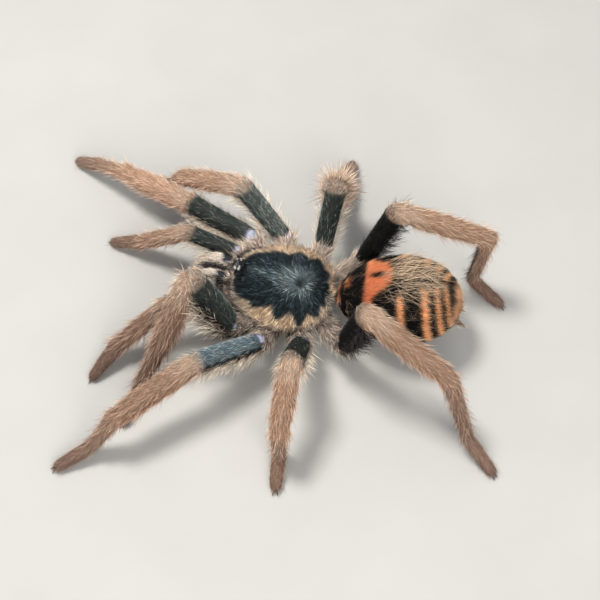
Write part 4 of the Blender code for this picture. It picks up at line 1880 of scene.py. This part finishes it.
@dataclass(frozen=True)
class FloorFinish(Finish):
    """The plain pale floor."""

    name: str = "pale floor"

    def look(self, pen: NodeWriter) -> dict:
        """Cloud the floor a little.

        Args:
            pen: The material's writer.

        Returns:
            The inputs of its Principled shader.
        """
        cloud = noise(pen, pen.add("ShaderNodeTexCoord").outputs["Object"], 60.0, 4.0)
        low, high = (*colour(176, 175, 171), 1), (*colour(186, 185, 181), 1)
        return {"Base Color": blend(pen, cloud, low, high), "Roughness": 0.8}


# ---- the coat ----
FINE = CoatFinish("carapace_strands", 0.4, 1.3, 1.1, 1.8, roughness=0.4, sheen=0.0, specular=0.3)
VELVET = CoatFinish("velvet_strands", 0.45, 1.15, 1.0, 1.2, roughness=0.4, sheen=0.0, specular=0.25)
TAN = CoatFinish("tan_strands", 0.45, 1.2, 0.7, 0.35)
RUMP = CoatFinish("abdomen_strands", 1.0, 1.5, 0.5, roughness=0.6, sheen=0.0, specular=0.2)
HIPS = CoatFinish("hip_strands", 0.25, 1.2, 1.3, 0.4)
JAWS = CoatFinish("jaw_strands", 0.7, 1.25, 0.7, 0.3)
LONG_HAIR = CoatFinish("long_hairs", 0.7, 1.25, 0.8, 0.3, roughness=0.4)


class Kind(Enum):
    """The kinds of strand, by the method of Markings that makes each."""

    FUR = "fur"
    BRISTLE = "bristles"
    STREAMER = "streamers"
    COMB = "combs"
    STREAK = "streaks"


@dataclass(frozen=True)
class Layer:
    """One piece of the coat: where it grows and what its strands are like."""

    name: str
    kind: Kind
    parts: tuple[Part, ...]
    finish: CoatFinish
    slot: str
    density: float  # strands on a square millimetre
    girth: float  # radius as a share of the length
    curl: float
    spread: float  # degrees to either side of the lie
    limbs: tuple[str, ...] = ()
    half: int = 0  # 1 for the upper half only, -1 for the lower
    rings: int = 2
    unevenness: float = 0.3

    def where(self, chart: Chart) -> Array:
        """Find the points of the skin that it grows on.

        Args:
            chart: The skin's chart.

        Returns:
            A yes or no for each point.
        """
        here = chart.on(*self.parts)
        if self.limbs:
            side = SIDES[self.limbs[0].rsplit("_", 1)[1]]
            shell = chart.on(Part.CARAPACE) & (chart.points[:, 0] * side > 0)
            here &= chart.on_limb(*self.limbs) | shell
        if self.half:
            here &= self.half * chart.back > 0
        return here

    def inputs(self) -> dict:
        """Put its numbers in the units of the strands' tree.

        Returns:
            The tree's inputs, but for the skin and the seed.
        """
        return {
            "Density": self.density / (MM * MM),
            "Girth": self.girth,
            "Curl": self.curl,
            "Spread": math.radians(self.spread),
            "Unevenness": self.unevenness,
            "Rings": self.rings,
            "Finish": self.finish.material(),
        }


@dataclass
class Coat:
    """All the strands, a piece for each layer."""

    skin: Skin
    markings: Markings
    trees: StrandTree = field(default_factory=StrandTree)
    share: float = 1.0

    def body_layers(self) -> list[Layer]:
        """Lay out the layers of the body and the jaws.

        Returns:
            The layers.
        """
        shell, jaw, rump = (Part.CARAPACE, Part.MOUND), (Part.JAW,), (Part.ABDOMEN,)
        fur, low = Kind.FUR, (Part.STERNUM, Part.PEDICEL, Part.SPINNERET)
        whiskered, combed = (Part.JAW, Part.SPINNERET), (Part.JAW, Part.CARAPACE)
        flowing = (8, 0.006, 0.25, 42, (), 0, 4, 0.45)
        return [
            Layer("coat_carapace", fur, shell, FINE, "carapace_coat", 118, 0.031, 0.1, 18, rings=1),
            Layer("streaks_carapace", Kind.STREAK, shell, FINE, "carapace_coat", 20, 0.027, 0.2, 40),
            Layer("whiskers", Kind.BRISTLE, whiskered, LONG_HAIR, "jaw_coat", 10, 0.014, 0.25, 20),
            Layer("coat_abdomen_upper", fur, rump, RUMP, "abdomen_coat", 84, 0.034, 0.2, 16, (), 1, 1),
            Layer("coat_abdomen_lower", fur, rump, RUMP, "abdomen_coat", 40, 0.05, 0.2, 16, (), -1, 1),
            Layer("coat_jaws", fur, jaw, JAWS, "jaw_coat", 55, 0.04, 0.15, 12, rings=1),
            Layer("coat_underside", fur, low, HIPS, "hip_coat", 24, 0.05, 0.2, 18),
            Layer("combs", Kind.COMB, combed, LONG_HAIR, "jaw_coat", 52, 0.03, 0.2, 22),
            Layer("streamers", Kind.STREAMER, rump, LONG_HAIR, "abdomen_coat", *flowing),
        ]

    def limb_layers(self, side: str) -> list[Layer]:
        """Lay out the layers of one side's limbs.

        Args:
            side: left or right.

        Returns:
            The layers.
        """
        limbs = tuple(f"{kind}_{side}" for kind in LIMB_PARTS)
        hip, femur, fur = (Part.HIP,), (Part.FEMUR,), Kind.FUR
        hairy = (Part.HIP, Part.FEMUR, Part.CARAPACE, *SHANK)
        names = [f"{word}_{side}" for word in ("coat_hips", "coat_femora", "streaks", "bristles")]
        sparse = (14, 0.014, 0.3, 26, limbs, 0, 2, 0.35)
        made = [
            Layer(names[0], fur, hip, HIPS, "hip_coat", 32, 0.028, 0.3, 30, limbs),
            Layer(names[1], fur, femur, VELVET, "dark_coat", 62, 0.045, 0.1, 12, limbs, rings=1),
            Layer(names[2], Kind.STREAK, femur, VELVET, "dark_coat", 22, 0.03, 0.2, 18, limbs),
            Layer(names[3], Kind.BRISTLE, hairy, LONG_HAIR, "tan_coat", *sparse),
        ]
        for limb in limbs:
            tan = (SHANK, TAN, "tan_coat", 50, 0.027, 0.26, 17)
            made.append(Layer(f"coat_{limb}", fur, *tan, (limb,), rings=1))
        return made

    def build(self) -> None:
        """Grow every layer and fix it to the frame; a layer's place in the list is its seed."""
        bed = self.skin.mesh.copy()
        first_vertex = read(bed.loops, "vertex_index")[read(bed.polygons, "loop_start")]
        pelages = {kind: getattr(self.markings, kind.value)() for kind in Kind}
        layers = self.body_layers() + [layer for side in SIDES for layer in self.limb_layers(side)]
        for seed, layer in enumerate(layers):
            pelage = pelages[layer.kind]
            write(bed, "cover", np.clip(pelage.cover, 0, 1))
            write(bed, "length", pelage.length)
            write(bed, "lift", pelage.lift)
            write(bed, "lie", pelage.lie)
            write_tone(bed, pelage.tone)
            write(bed, "here", layer.where(self.skin.chart)[first_vertex])
            bed.update()
            self.grow(layer, bed, seed)
        bpy.data.meshes.remove(bed)

    def grow(self, layer: Layer, bed: Mesh, seed: int) -> None:
        """Grow one layer.

        Args:
            layer: The layer.
            bed: A copy of the skin with the layer's attributes.
            seed: The seed of its random draws.
        """
        holder = new_object(f"{layer.name}_bed", bed)
        modifier = holder.modifiers.new("strands", "NODES")
        modifier.node_group = self.trees.build()
        values = {**layer.inputs(), "Seed": seed}
        values["Density"] *= self.share
        for item in modifier.node_group.interface.items_tree:
            if item.in_out == "INPUT" and item.name in values:
                modifier[item.identifier] = values[item.name]
        adopt(plain_copy(holder, layer.name))


# ---- the unwrap ----
Tile = tuple[float, float, float, float]  # left, low, width and height on the unwrap
# The tiles of the parts that are unrolled round their axis, and of those that are seen from above.
ROLLS = {
    Part.ABDOMEN: (0.01, 0.62, 0.44, 0.18),
    Part.PEDICEL: (0.13, 0.84, 0.06, 0.06),
    Part.JAW: (0.21, 0.84, 0.12, 0.12),
    Part.SPINNERET: (0.35, 0.84, 0.06, 0.06),
}
PLATES = {
    Part.CARAPACE: (0.48, 0.62, 0.22, 0.22),
    Part.STERNUM: (0.01, 0.84, 0.1, 0.1),
    Part.MOUND: (0.43, 0.86, 0.06, 0.06),
}


@dataclass
class Unwrap:
    """The skin's own unwrap: every limb is a strip, every other part a tile."""

    skin: Skin
    strip_length: float = 46 * MM
    strip_pitch: float = 0.06
    strip_width: float = 0.052
    underside: Tile = (0.74, 0.62, 0.22, 0.22)  # of the carapace

    @staticmethod
    def lay(spot: Array, here: Array, tile: Tile, u: Array, v: Array) -> None:
        """Put some corners in a tile.

        Args:
            spot: The places on the unwrap, which are filled in.
            here: Which corners.
            tile: The tile.
            u: The share of the way across the tile, for each corner.
            v: The share of the way up.
        """
        left, low, width, height = tile
        spot[here, 0] = left + width * u[here]
        spot[here, 1] = low + height * v[here]

    def build(self) -> None:
        """Write the unwrap on the skin."""
        chart, mesh = self.skin.chart, self.skin.mesh
        vertex = read(mesh.loops, "vertex_index")
        lead = np.repeat(vertex[read(mesh.polygons, "loop_start")], read(mesh.polygons, "loop_total"))
        turns = chart.angle / (2 * math.pi)
        turn = turns[vertex]
        turn = turn - np.round(turn - turns[lead])  # a face stays whole where the angle starts again
        across = np.clip(turn + 0.5, 0, 1)
        spot = np.zeros((len(vertex), 2))
        limb = chart.limb[lead]
        u = 0.02 + 0.94 * np.clip(chart.travel[vertex] / self.strip_length, 0, 1)
        v = 0.004 + self.strip_pitch * limb + self.strip_width * across
        spot[limb >= 0] = np.stack((u, v), 1)[limb >= 0]
        for part, tile in {**ROLLS, **PLATES}.items():
            here = (chart.part[lead] == part.value) & (limb < 0)
            if part in ROLLS:
                self.lay(spot, here, tile, np.clip(chart.along[vertex], 0, 1), across)
                continue
            low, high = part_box("eye_mound" if part is Part.MOUND else part.name.lower())
            share = np.clip((chart.points[vertex] - low) / np.array(high - low), 0, 1)
            self.lay(spot, here, tile, share[:, 0], share[:, 1])
            if part is Part.CARAPACE:
                under = here & (chart.normals[lead, 2] < 0)
                self.lay(spot, under, self.underside, share[:, 0], share[:, 1])
        mesh.uv_layers.new(name=UV_NAME).data.foreach_set("uv", spot.astype(np.float32).ravel())


# ---- eyes, fangs and claws ----
@dataclass(frozen=True)
class Eye:
    """One pair of eyes on the mound: shares of its half width and half length, and size in mm."""

    across: float
    along: float
    radius: float
    stretch: float  # how much longer than wide
    slant: float  # degrees by which its long axis turns outwards
    pearly: bool


EYES = (
    Eye(0.27, -0.25, 0.28, 1.0, 0, False),
    Eye(0.70, -0.52, 0.27, 1.35, 35, True),
    Eye(0.78, 0.14, 0.23, 1.35, -20, True),
    Eye(0.48, 0.20, 0.17, 1.25, -30, True),
)


@dataclass
class EyeGroup:
    """The eight eyes, half sunk in the mound, each in a raised rim."""

    skin: Skin
    sink: float = 0.42  # share of the radius that lies under the hide
    around: int = 28
    rings: int = 12
    rim_sides: int = 8
    rim_girth: float = 0.13  # radius as a share of the eye's
    black: HornFinish = HornFinish("eye_black", (8, 9, 12), (20, 18, 17), 0.05, 1.0, 0.05)
    pearl: HornFinish = HornFinish("eye_pearl", (158, 160, 152), (60, 54, 46), 0.08, 1.0, 0.2)
    rim: HornFinish = HornFinish("eye_rim", (24, 20, 18), (40, 32, 28), 0.3, 0.3, 0.3)

    def build(self) -> Object:
        """Make the eyes as one piece.

        Returns:
            The piece, not yet fixed to the frame.
        """
        low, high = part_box("eye_mound")
        middle = middle_of("eye_mound")
        middle.z = low.z
        half = (high - low) / 2
        points = [tuple(point) for point in coordinates(self.skin.mesh)]
        tree = BVHTree.FromPolygons(points, [tuple(face.vertices) for face in self.skin.mesh.polygons])
        mesh = bpy.data.meshes.new("eyes")
        with shaping(mesh) as bm:
            bm.verts.layers.float.new("share")
            for eye in EYES:
                for side in SIDES.values():
                    x, y = side * eye.across * half.x, eye.along * half.y
                    goal = middle + Vector((x, y, 0.6 * (high.z - low.z)))
                    spot, normal, _, _ = tree.find_nearest(goal)
                    normal = (normal + 0.6 * (goal - middle).normalized()).normalized()
                    turn = normal.to_track_quat("Z", "Y").to_matrix().to_4x4()
                    turn = turn @ Matrix.Rotation(math.radians(side * eye.slant), 4, "Z")
                    centre = spot - normal * self.sink * (eye.radius * MM)
                    self.ball(bm, Matrix.Translation(centre) @ turn, eye)
                    self.ring(bm, Matrix.Translation(spot - 0.02 * MM * normal) @ turn, eye)
        for finish in (self.black, self.pearl, self.rim):
            mesh.materials.append(finish.material())
        mesh.shade_smooth()
        return new_object("eyes", mesh)

    def ball(self, bm: BMesh, frame: Matrix, eye: Eye) -> None:
        """Add one eyeball; its share runs from the middle of its face to the equator.

        Args:
            bm: The mesh of all the eyes.
            frame: Where it is and how it is turned.
            eye: Its sizes.
        """
        share = bm.verts.layers.float["share"]
        radius = eye.radius * MM
        matrix = frame @ Matrix.Diagonal((radius, radius * eye.stretch, radius, 1))
        sizes = {"u_segments": self.around, "v_segments": self.rings * 2, "radius": 1}
        made = bmesh.ops.create_uvsphere(bm, matrix=matrix, **sizes)
        outward = (frame.to_3x3() @ Vector((0, 0, 1))).normalized()
        for vert in made["verts"]:
            height = (vert.co - frame.translation).dot(outward) / radius
            vert[share] = min(max((0.85 - height) * 1.3, 0), 1)
            for face in vert.link_faces:
                face.material_index = 1 if eye.pearly else 0

    def ring(self, bm: BMesh, frame: Matrix, eye: Eye) -> None:
        """Add the raised rim round an eye.

        Args:
            bm: The mesh of all the eyes.
            frame: Where the eye's waist is and how it is turned.
            eye: Its sizes.
        """
        share = bm.verts.layers.float["share"]
        radius = eye.radius * MM
        waist = radius * math.sqrt(1 - self.sink**2)
        thick = self.rim_girth * radius
        rows = []
        for k in range(self.around):
            turn = 2 * math.pi * k / self.around
            rows.append([])
            for n in range(self.rim_sides):
                tilt = 2 * math.pi * n / self.rim_sides
                out = waist + thick * (0.6 + math.cos(tilt))
                x, y = out * math.cos(turn), out * math.sin(turn) * eye.stretch
                vert = bm.verts.new(frame @ Vector((x, y, thick * math.sin(tilt))))
                vert[share] = 0.5 - 0.5 * math.sin(tilt)
                rows[-1].append(vert)
        for k, row in enumerate(rows):
            after = rows[(k + 1) % self.around]
            for n in range(self.rim_sides):
                m = (n + 1) % self.rim_sides
                bm.faces.new((row[n], after[n], after[m], row[m])).material_index = 2


@dataclass(frozen=True)
class Horn:
    """A closed horn along a curve; its share attribute is 0 at its root and 1 at its tip."""

    curve: tuple[Vector, Vector, Vector, Vector]  # the controls of a Bezier curve from root to tip
    radius: float
    rings: int
    sides: int
    hold: float  # the higher, the longer it keeps its girth
    point: float  # the lower, the blunter its tip

    def centres(self) -> list[Vector]:
        """Find the middles of its rings.

        Returns:
            The middles; the last is its tip.
        """
        a, b, c, d = self.curve
        made = []
        for k in range(self.rings):
            t = k / (self.rings - 1)
            u = 1 - t
            made.append(a * u**3 + b * 3 * u * u * t + c * 3 * u * t * t + d * t**3)
        return made

    def mesh(self, name: str) -> Mesh:
        """Make it.

        Args:
            name: The mesh's name.

        Returns:
            The mesh.
        """
        mesh = bpy.data.meshes.new(name)
        centres = self.centres()
        last = self.rings - 1
        with shaping(mesh) as bm:
            share = bm.verts.layers.float.new("share")
            rows = []
            for k, centre in enumerate(centres[:-1]):
                radius = self.radius * (1 - (k / last) ** self.hold) ** self.point
                way = (centres[k + 1] - centres[max(k - 1, 0)]).normalized()
                side = way.cross(Vector((0.31, 0.2, 0.93))).normalized()
                other = way.cross(side)
                rows.append([])
                for n in range(self.sides):
                    turn = 2 * math.pi * n / self.sides
                    out = math.cos(turn) * side + math.sin(turn) * other
                    vert = bm.verts.new(centre + radius * out)
                    vert[share] = k / last
                    rows[-1].append(vert)
            tip = bm.verts.new(centres[-1])
            tip[share] = 1.0
            around = [(n, (n + 1) % self.sides) for n in range(self.sides)]
            for one, two in zip(rows, rows[1:]):
                for n, m in around:
                    bm.faces.new((one[n], one[m], two[m], two[n]))
            for n, m in around:
                bm.faces.new((rows[-1][n], rows[-1][m], tip))
            bm.faces.new(list(reversed(rows[0])))
            bmesh.ops.recalc_face_normals(bm, faces=bm.faces)
        mesh.shade_smooth()
        return mesh


@dataclass
class Fangs:
    """The two fangs, folded back under the jaws."""

    horn: HornFinish = HornFinish("fang_horn", (92, 40, 24), (14, 10, 9), 0.14, 0.8, 0.3)
    rings: int = 20
    sides: int = 18

    def build(self) -> None:
        """Make both and fix them to the frame."""
        for side in SIDES:
            low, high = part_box(f"fang_{side}")
            x = (low.x + high.x) / 2
            thick = (high.x - low.x) / 2
            root = Vector((x, low.y + thick * 0.9, high.z + 0.45 * MM))
            knee = Vector((x, low.y + 0.1 * thick, low.z + 0.9 * MM))
            bend = Vector((x, low.y + 1.2 * MM, low.z + 0.05 * MM))
            tip = Vector((x, high.y, low.z + thick * 1.1))
            fang = Horn((root, knee, bend, tip), thick, self.rings, self.sides, hold=1.6, point=0.8)
            name = f"fang_horn_{side}"
            piece = new_object(name, fang.mesh(name))
            piece.data.materials.append(self.horn.material())
            adopt(piece, [f"fang_{side}"])


@dataclass
class Claws:
    """A pair of small hooked claws at the tip of every foot, and one on each palp."""

    skeleton: Skeleton
    horn: HornFinish = HornFinish("claw_horn", (58, 36, 28), (16, 12, 11), 0.2, 0.6, 0.3)
    length: float = 0.75 * MM
    radius: float = 0.085 * MM

    def claw(self, bone: Bone, side: int) -> Horn:
        """Shape one claw.

        Args:
            bone: The bone of its foot.
            side: 1 or -1 for one of a pair, 0 for a single claw.

        Returns:
            The claw.
        """
        way, above = Vector(bone.way), Vector(bone.above)
        across = way.cross(above)
        root = Vector(bone.end) - way * 0.45 * MM + across * side * 0.17 * MM + above * 0.05 * MM
        out = way + across * side * 0.25
        rise = root + out * self.length * 0.75 + above * 0.06 * MM
        hook = root + out * self.length * 1.15
        tip = root + out * self.length * 1.2 + Vector((0, 0, -1)) * self.length * 0.42
        tip.z = max(tip.z, 0.04 * MM)
        return Horn((root, rise, hook, tip), self.radius, 9, 8, hold=2, point=0.7)

    def build(self) -> None:
        """Make them as one piece and fix it to the frame."""
        mesh = bpy.data.meshes.new("claws")
        with shaping(mesh) as bm:
            for bone in self.skeleton.bones:
                if bone.part is not Part.TARSUS:
                    continue
                for side in (-1, 1) if bone.limb.startswith("leg") else (0,):
                    claw = self.claw(bone, side).mesh("claw")
                    bm.from_mesh(claw)
                    bpy.data.meshes.remove(claw)
            for vert in bm.verts:
                vert.co.z = max(vert.co.z, 0.02 * MM)
        mesh.materials.append(self.horn.material())
        mesh.shade_smooth()
        adopt(new_object("claws", mesh))


# ---- the studio ----
@dataclass
class Studio:
    """A plain pale floor, soft light and the camera."""

    azimuth: float = 101.0
    elevation: float = 59.0
    distance: float = 0.155
    lens: float = 60.0
    aim: Vector = field(default_factory=lambda: Vector((-0.5, 1.8, 3.5)) * MM)
    floor_size: float = 2.0

    def build(self) -> None:
        """Set up the scene round the model."""
        self.floor()
        self.surround()
        self.lamp("key", Vector((-0.06, -0.14, 0.38)), 0.1, 1.7)
        self.lamp("fill", Vector((0.24, 0.14, 0.2)), 0.2, 0.75)
        self.camera()

    def floor(self) -> None:
        """The floor, which isn't part of the model."""
        half = self.floor_size / 2
        mesh = bpy.data.meshes.new("floor")
        corners = [(-half, -half, 0), (half, -half, 0), (half, half, 0), (-half, half, 0)]
        mesh.from_pydata(corners, [], [(0, 1, 2, 3)])
        mesh.materials.append(FloorFinish().material())
        new_object("floor", mesh)

    def surround(self) -> None:
        """A pale surround that lights the shadows."""
        scene = bpy.context.scene
        scene.view_settings.view_transform = "Standard"
        scene.world = bpy.data.worlds.new("studio")
        scene.world.use_nodes = True
        backdrop = scene.world.node_tree.nodes["Background"]
        backdrop.inputs["Color"].default_value = (0.94, 0.96, 1.0, 1)
        backdrop.inputs["Strength"].default_value = 0.5

    @staticmethod
    def lamp(name: str, spot: Vector, size: float, power: float) -> None:
        """Add a soft lamp that points at the middle of the floor.

        Args:
            name: Its name.
            spot: Its place, in metres.
            size: Its width, in metres.
            power: Its power, in watts.
        """
        lamp = bpy.data.lights.new(name, "AREA")
        lamp.size = size
        lamp.energy = power
        lamp.color = (1.0, 0.97, 0.93)
        piece = new_object(name, lamp)
        piece.location = spot
        piece.rotation_mode = "QUATERNION"
        piece.rotation_quaternion = spot.to_track_quat("Z", "Y")

    def camera(self) -> None:
        """The camera, above the spider's left side."""
        middle = middle_of("sternum")
        aim = Vector((middle.x + self.aim.x, middle.y + self.aim.y, self.aim.z))
        turn, rise = math.radians(self.azimuth), math.radians(self.elevation)
        level = math.cos(rise)
        back = Vector((math.sin(turn) * level, -math.cos(turn) * level, math.sin(rise)))
        lens = bpy.data.cameras.new("camera")
        lens.lens = self.lens
        lens.sensor_width = 36
        lens.clip_start = 0.001
        camera = new_object("camera", lens)
        camera.location = aim + back * self.distance
        camera.rotation_mode = "QUATERNION"
        camera.rotation_quaternion = back.to_track_quat("Z", "Y")
        bpy.context.scene.camera = camera


# ---- everything together ----
@dataclass
class Tarantula:
    """The dressed model."""

    frame: dict

    def build(self) -> None:
        """Make every piece."""
        skeleton = Skeleton(self.frame["nodes"])
        skin = Skin(self.frame, skeleton)
        hide = skin.build()
        Unwrap(skin).build()
        markings = Markings(skin)
        Coat(skin, markings, share=1.0).build()
        self.finish_hide(hide, markings)
        adopt(hide, skin.flesh_nodes())
        adopt(EyeGroup(skin).build(), ["eye_mound"])
        Fangs().build()
        Claws(skeleton).build()

    @staticmethod
    def finish_hide(hide: Object, markings: Markings) -> None:
        """Write what the hide's finish reads, and give the hide that finish.

        Args:
            hide: The skin's object.
            markings: Its markings.
        """
        chart = markings.chart
        write_tone(hide.data, markings.skin_tone())
        write(hide.data, "bare", markings.bare())
        radius = np.where(chart.limb < 0, 5.0, 1.2)  # rough radius of body and limbs, in mm
        grain = np.stack((chart.travel / MM, chart.angle * radius, np.zeros(len(radius))), 1)
        write(hide.data, "grain", grain)
        hide.data.materials.append(HideFinish().material())


def main() -> None:
    """Load the frame, dress it and light it."""
    logging.basicConfig(level=logging.INFO, format="%(message)s")
    for piece in list(bpy.data.objects):
        bpy.data.objects.remove(piece, do_unlink=True)
    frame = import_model()
    Tarantula(frame).build()
    Studio().build()


if __name__ == "__main__":
    main()
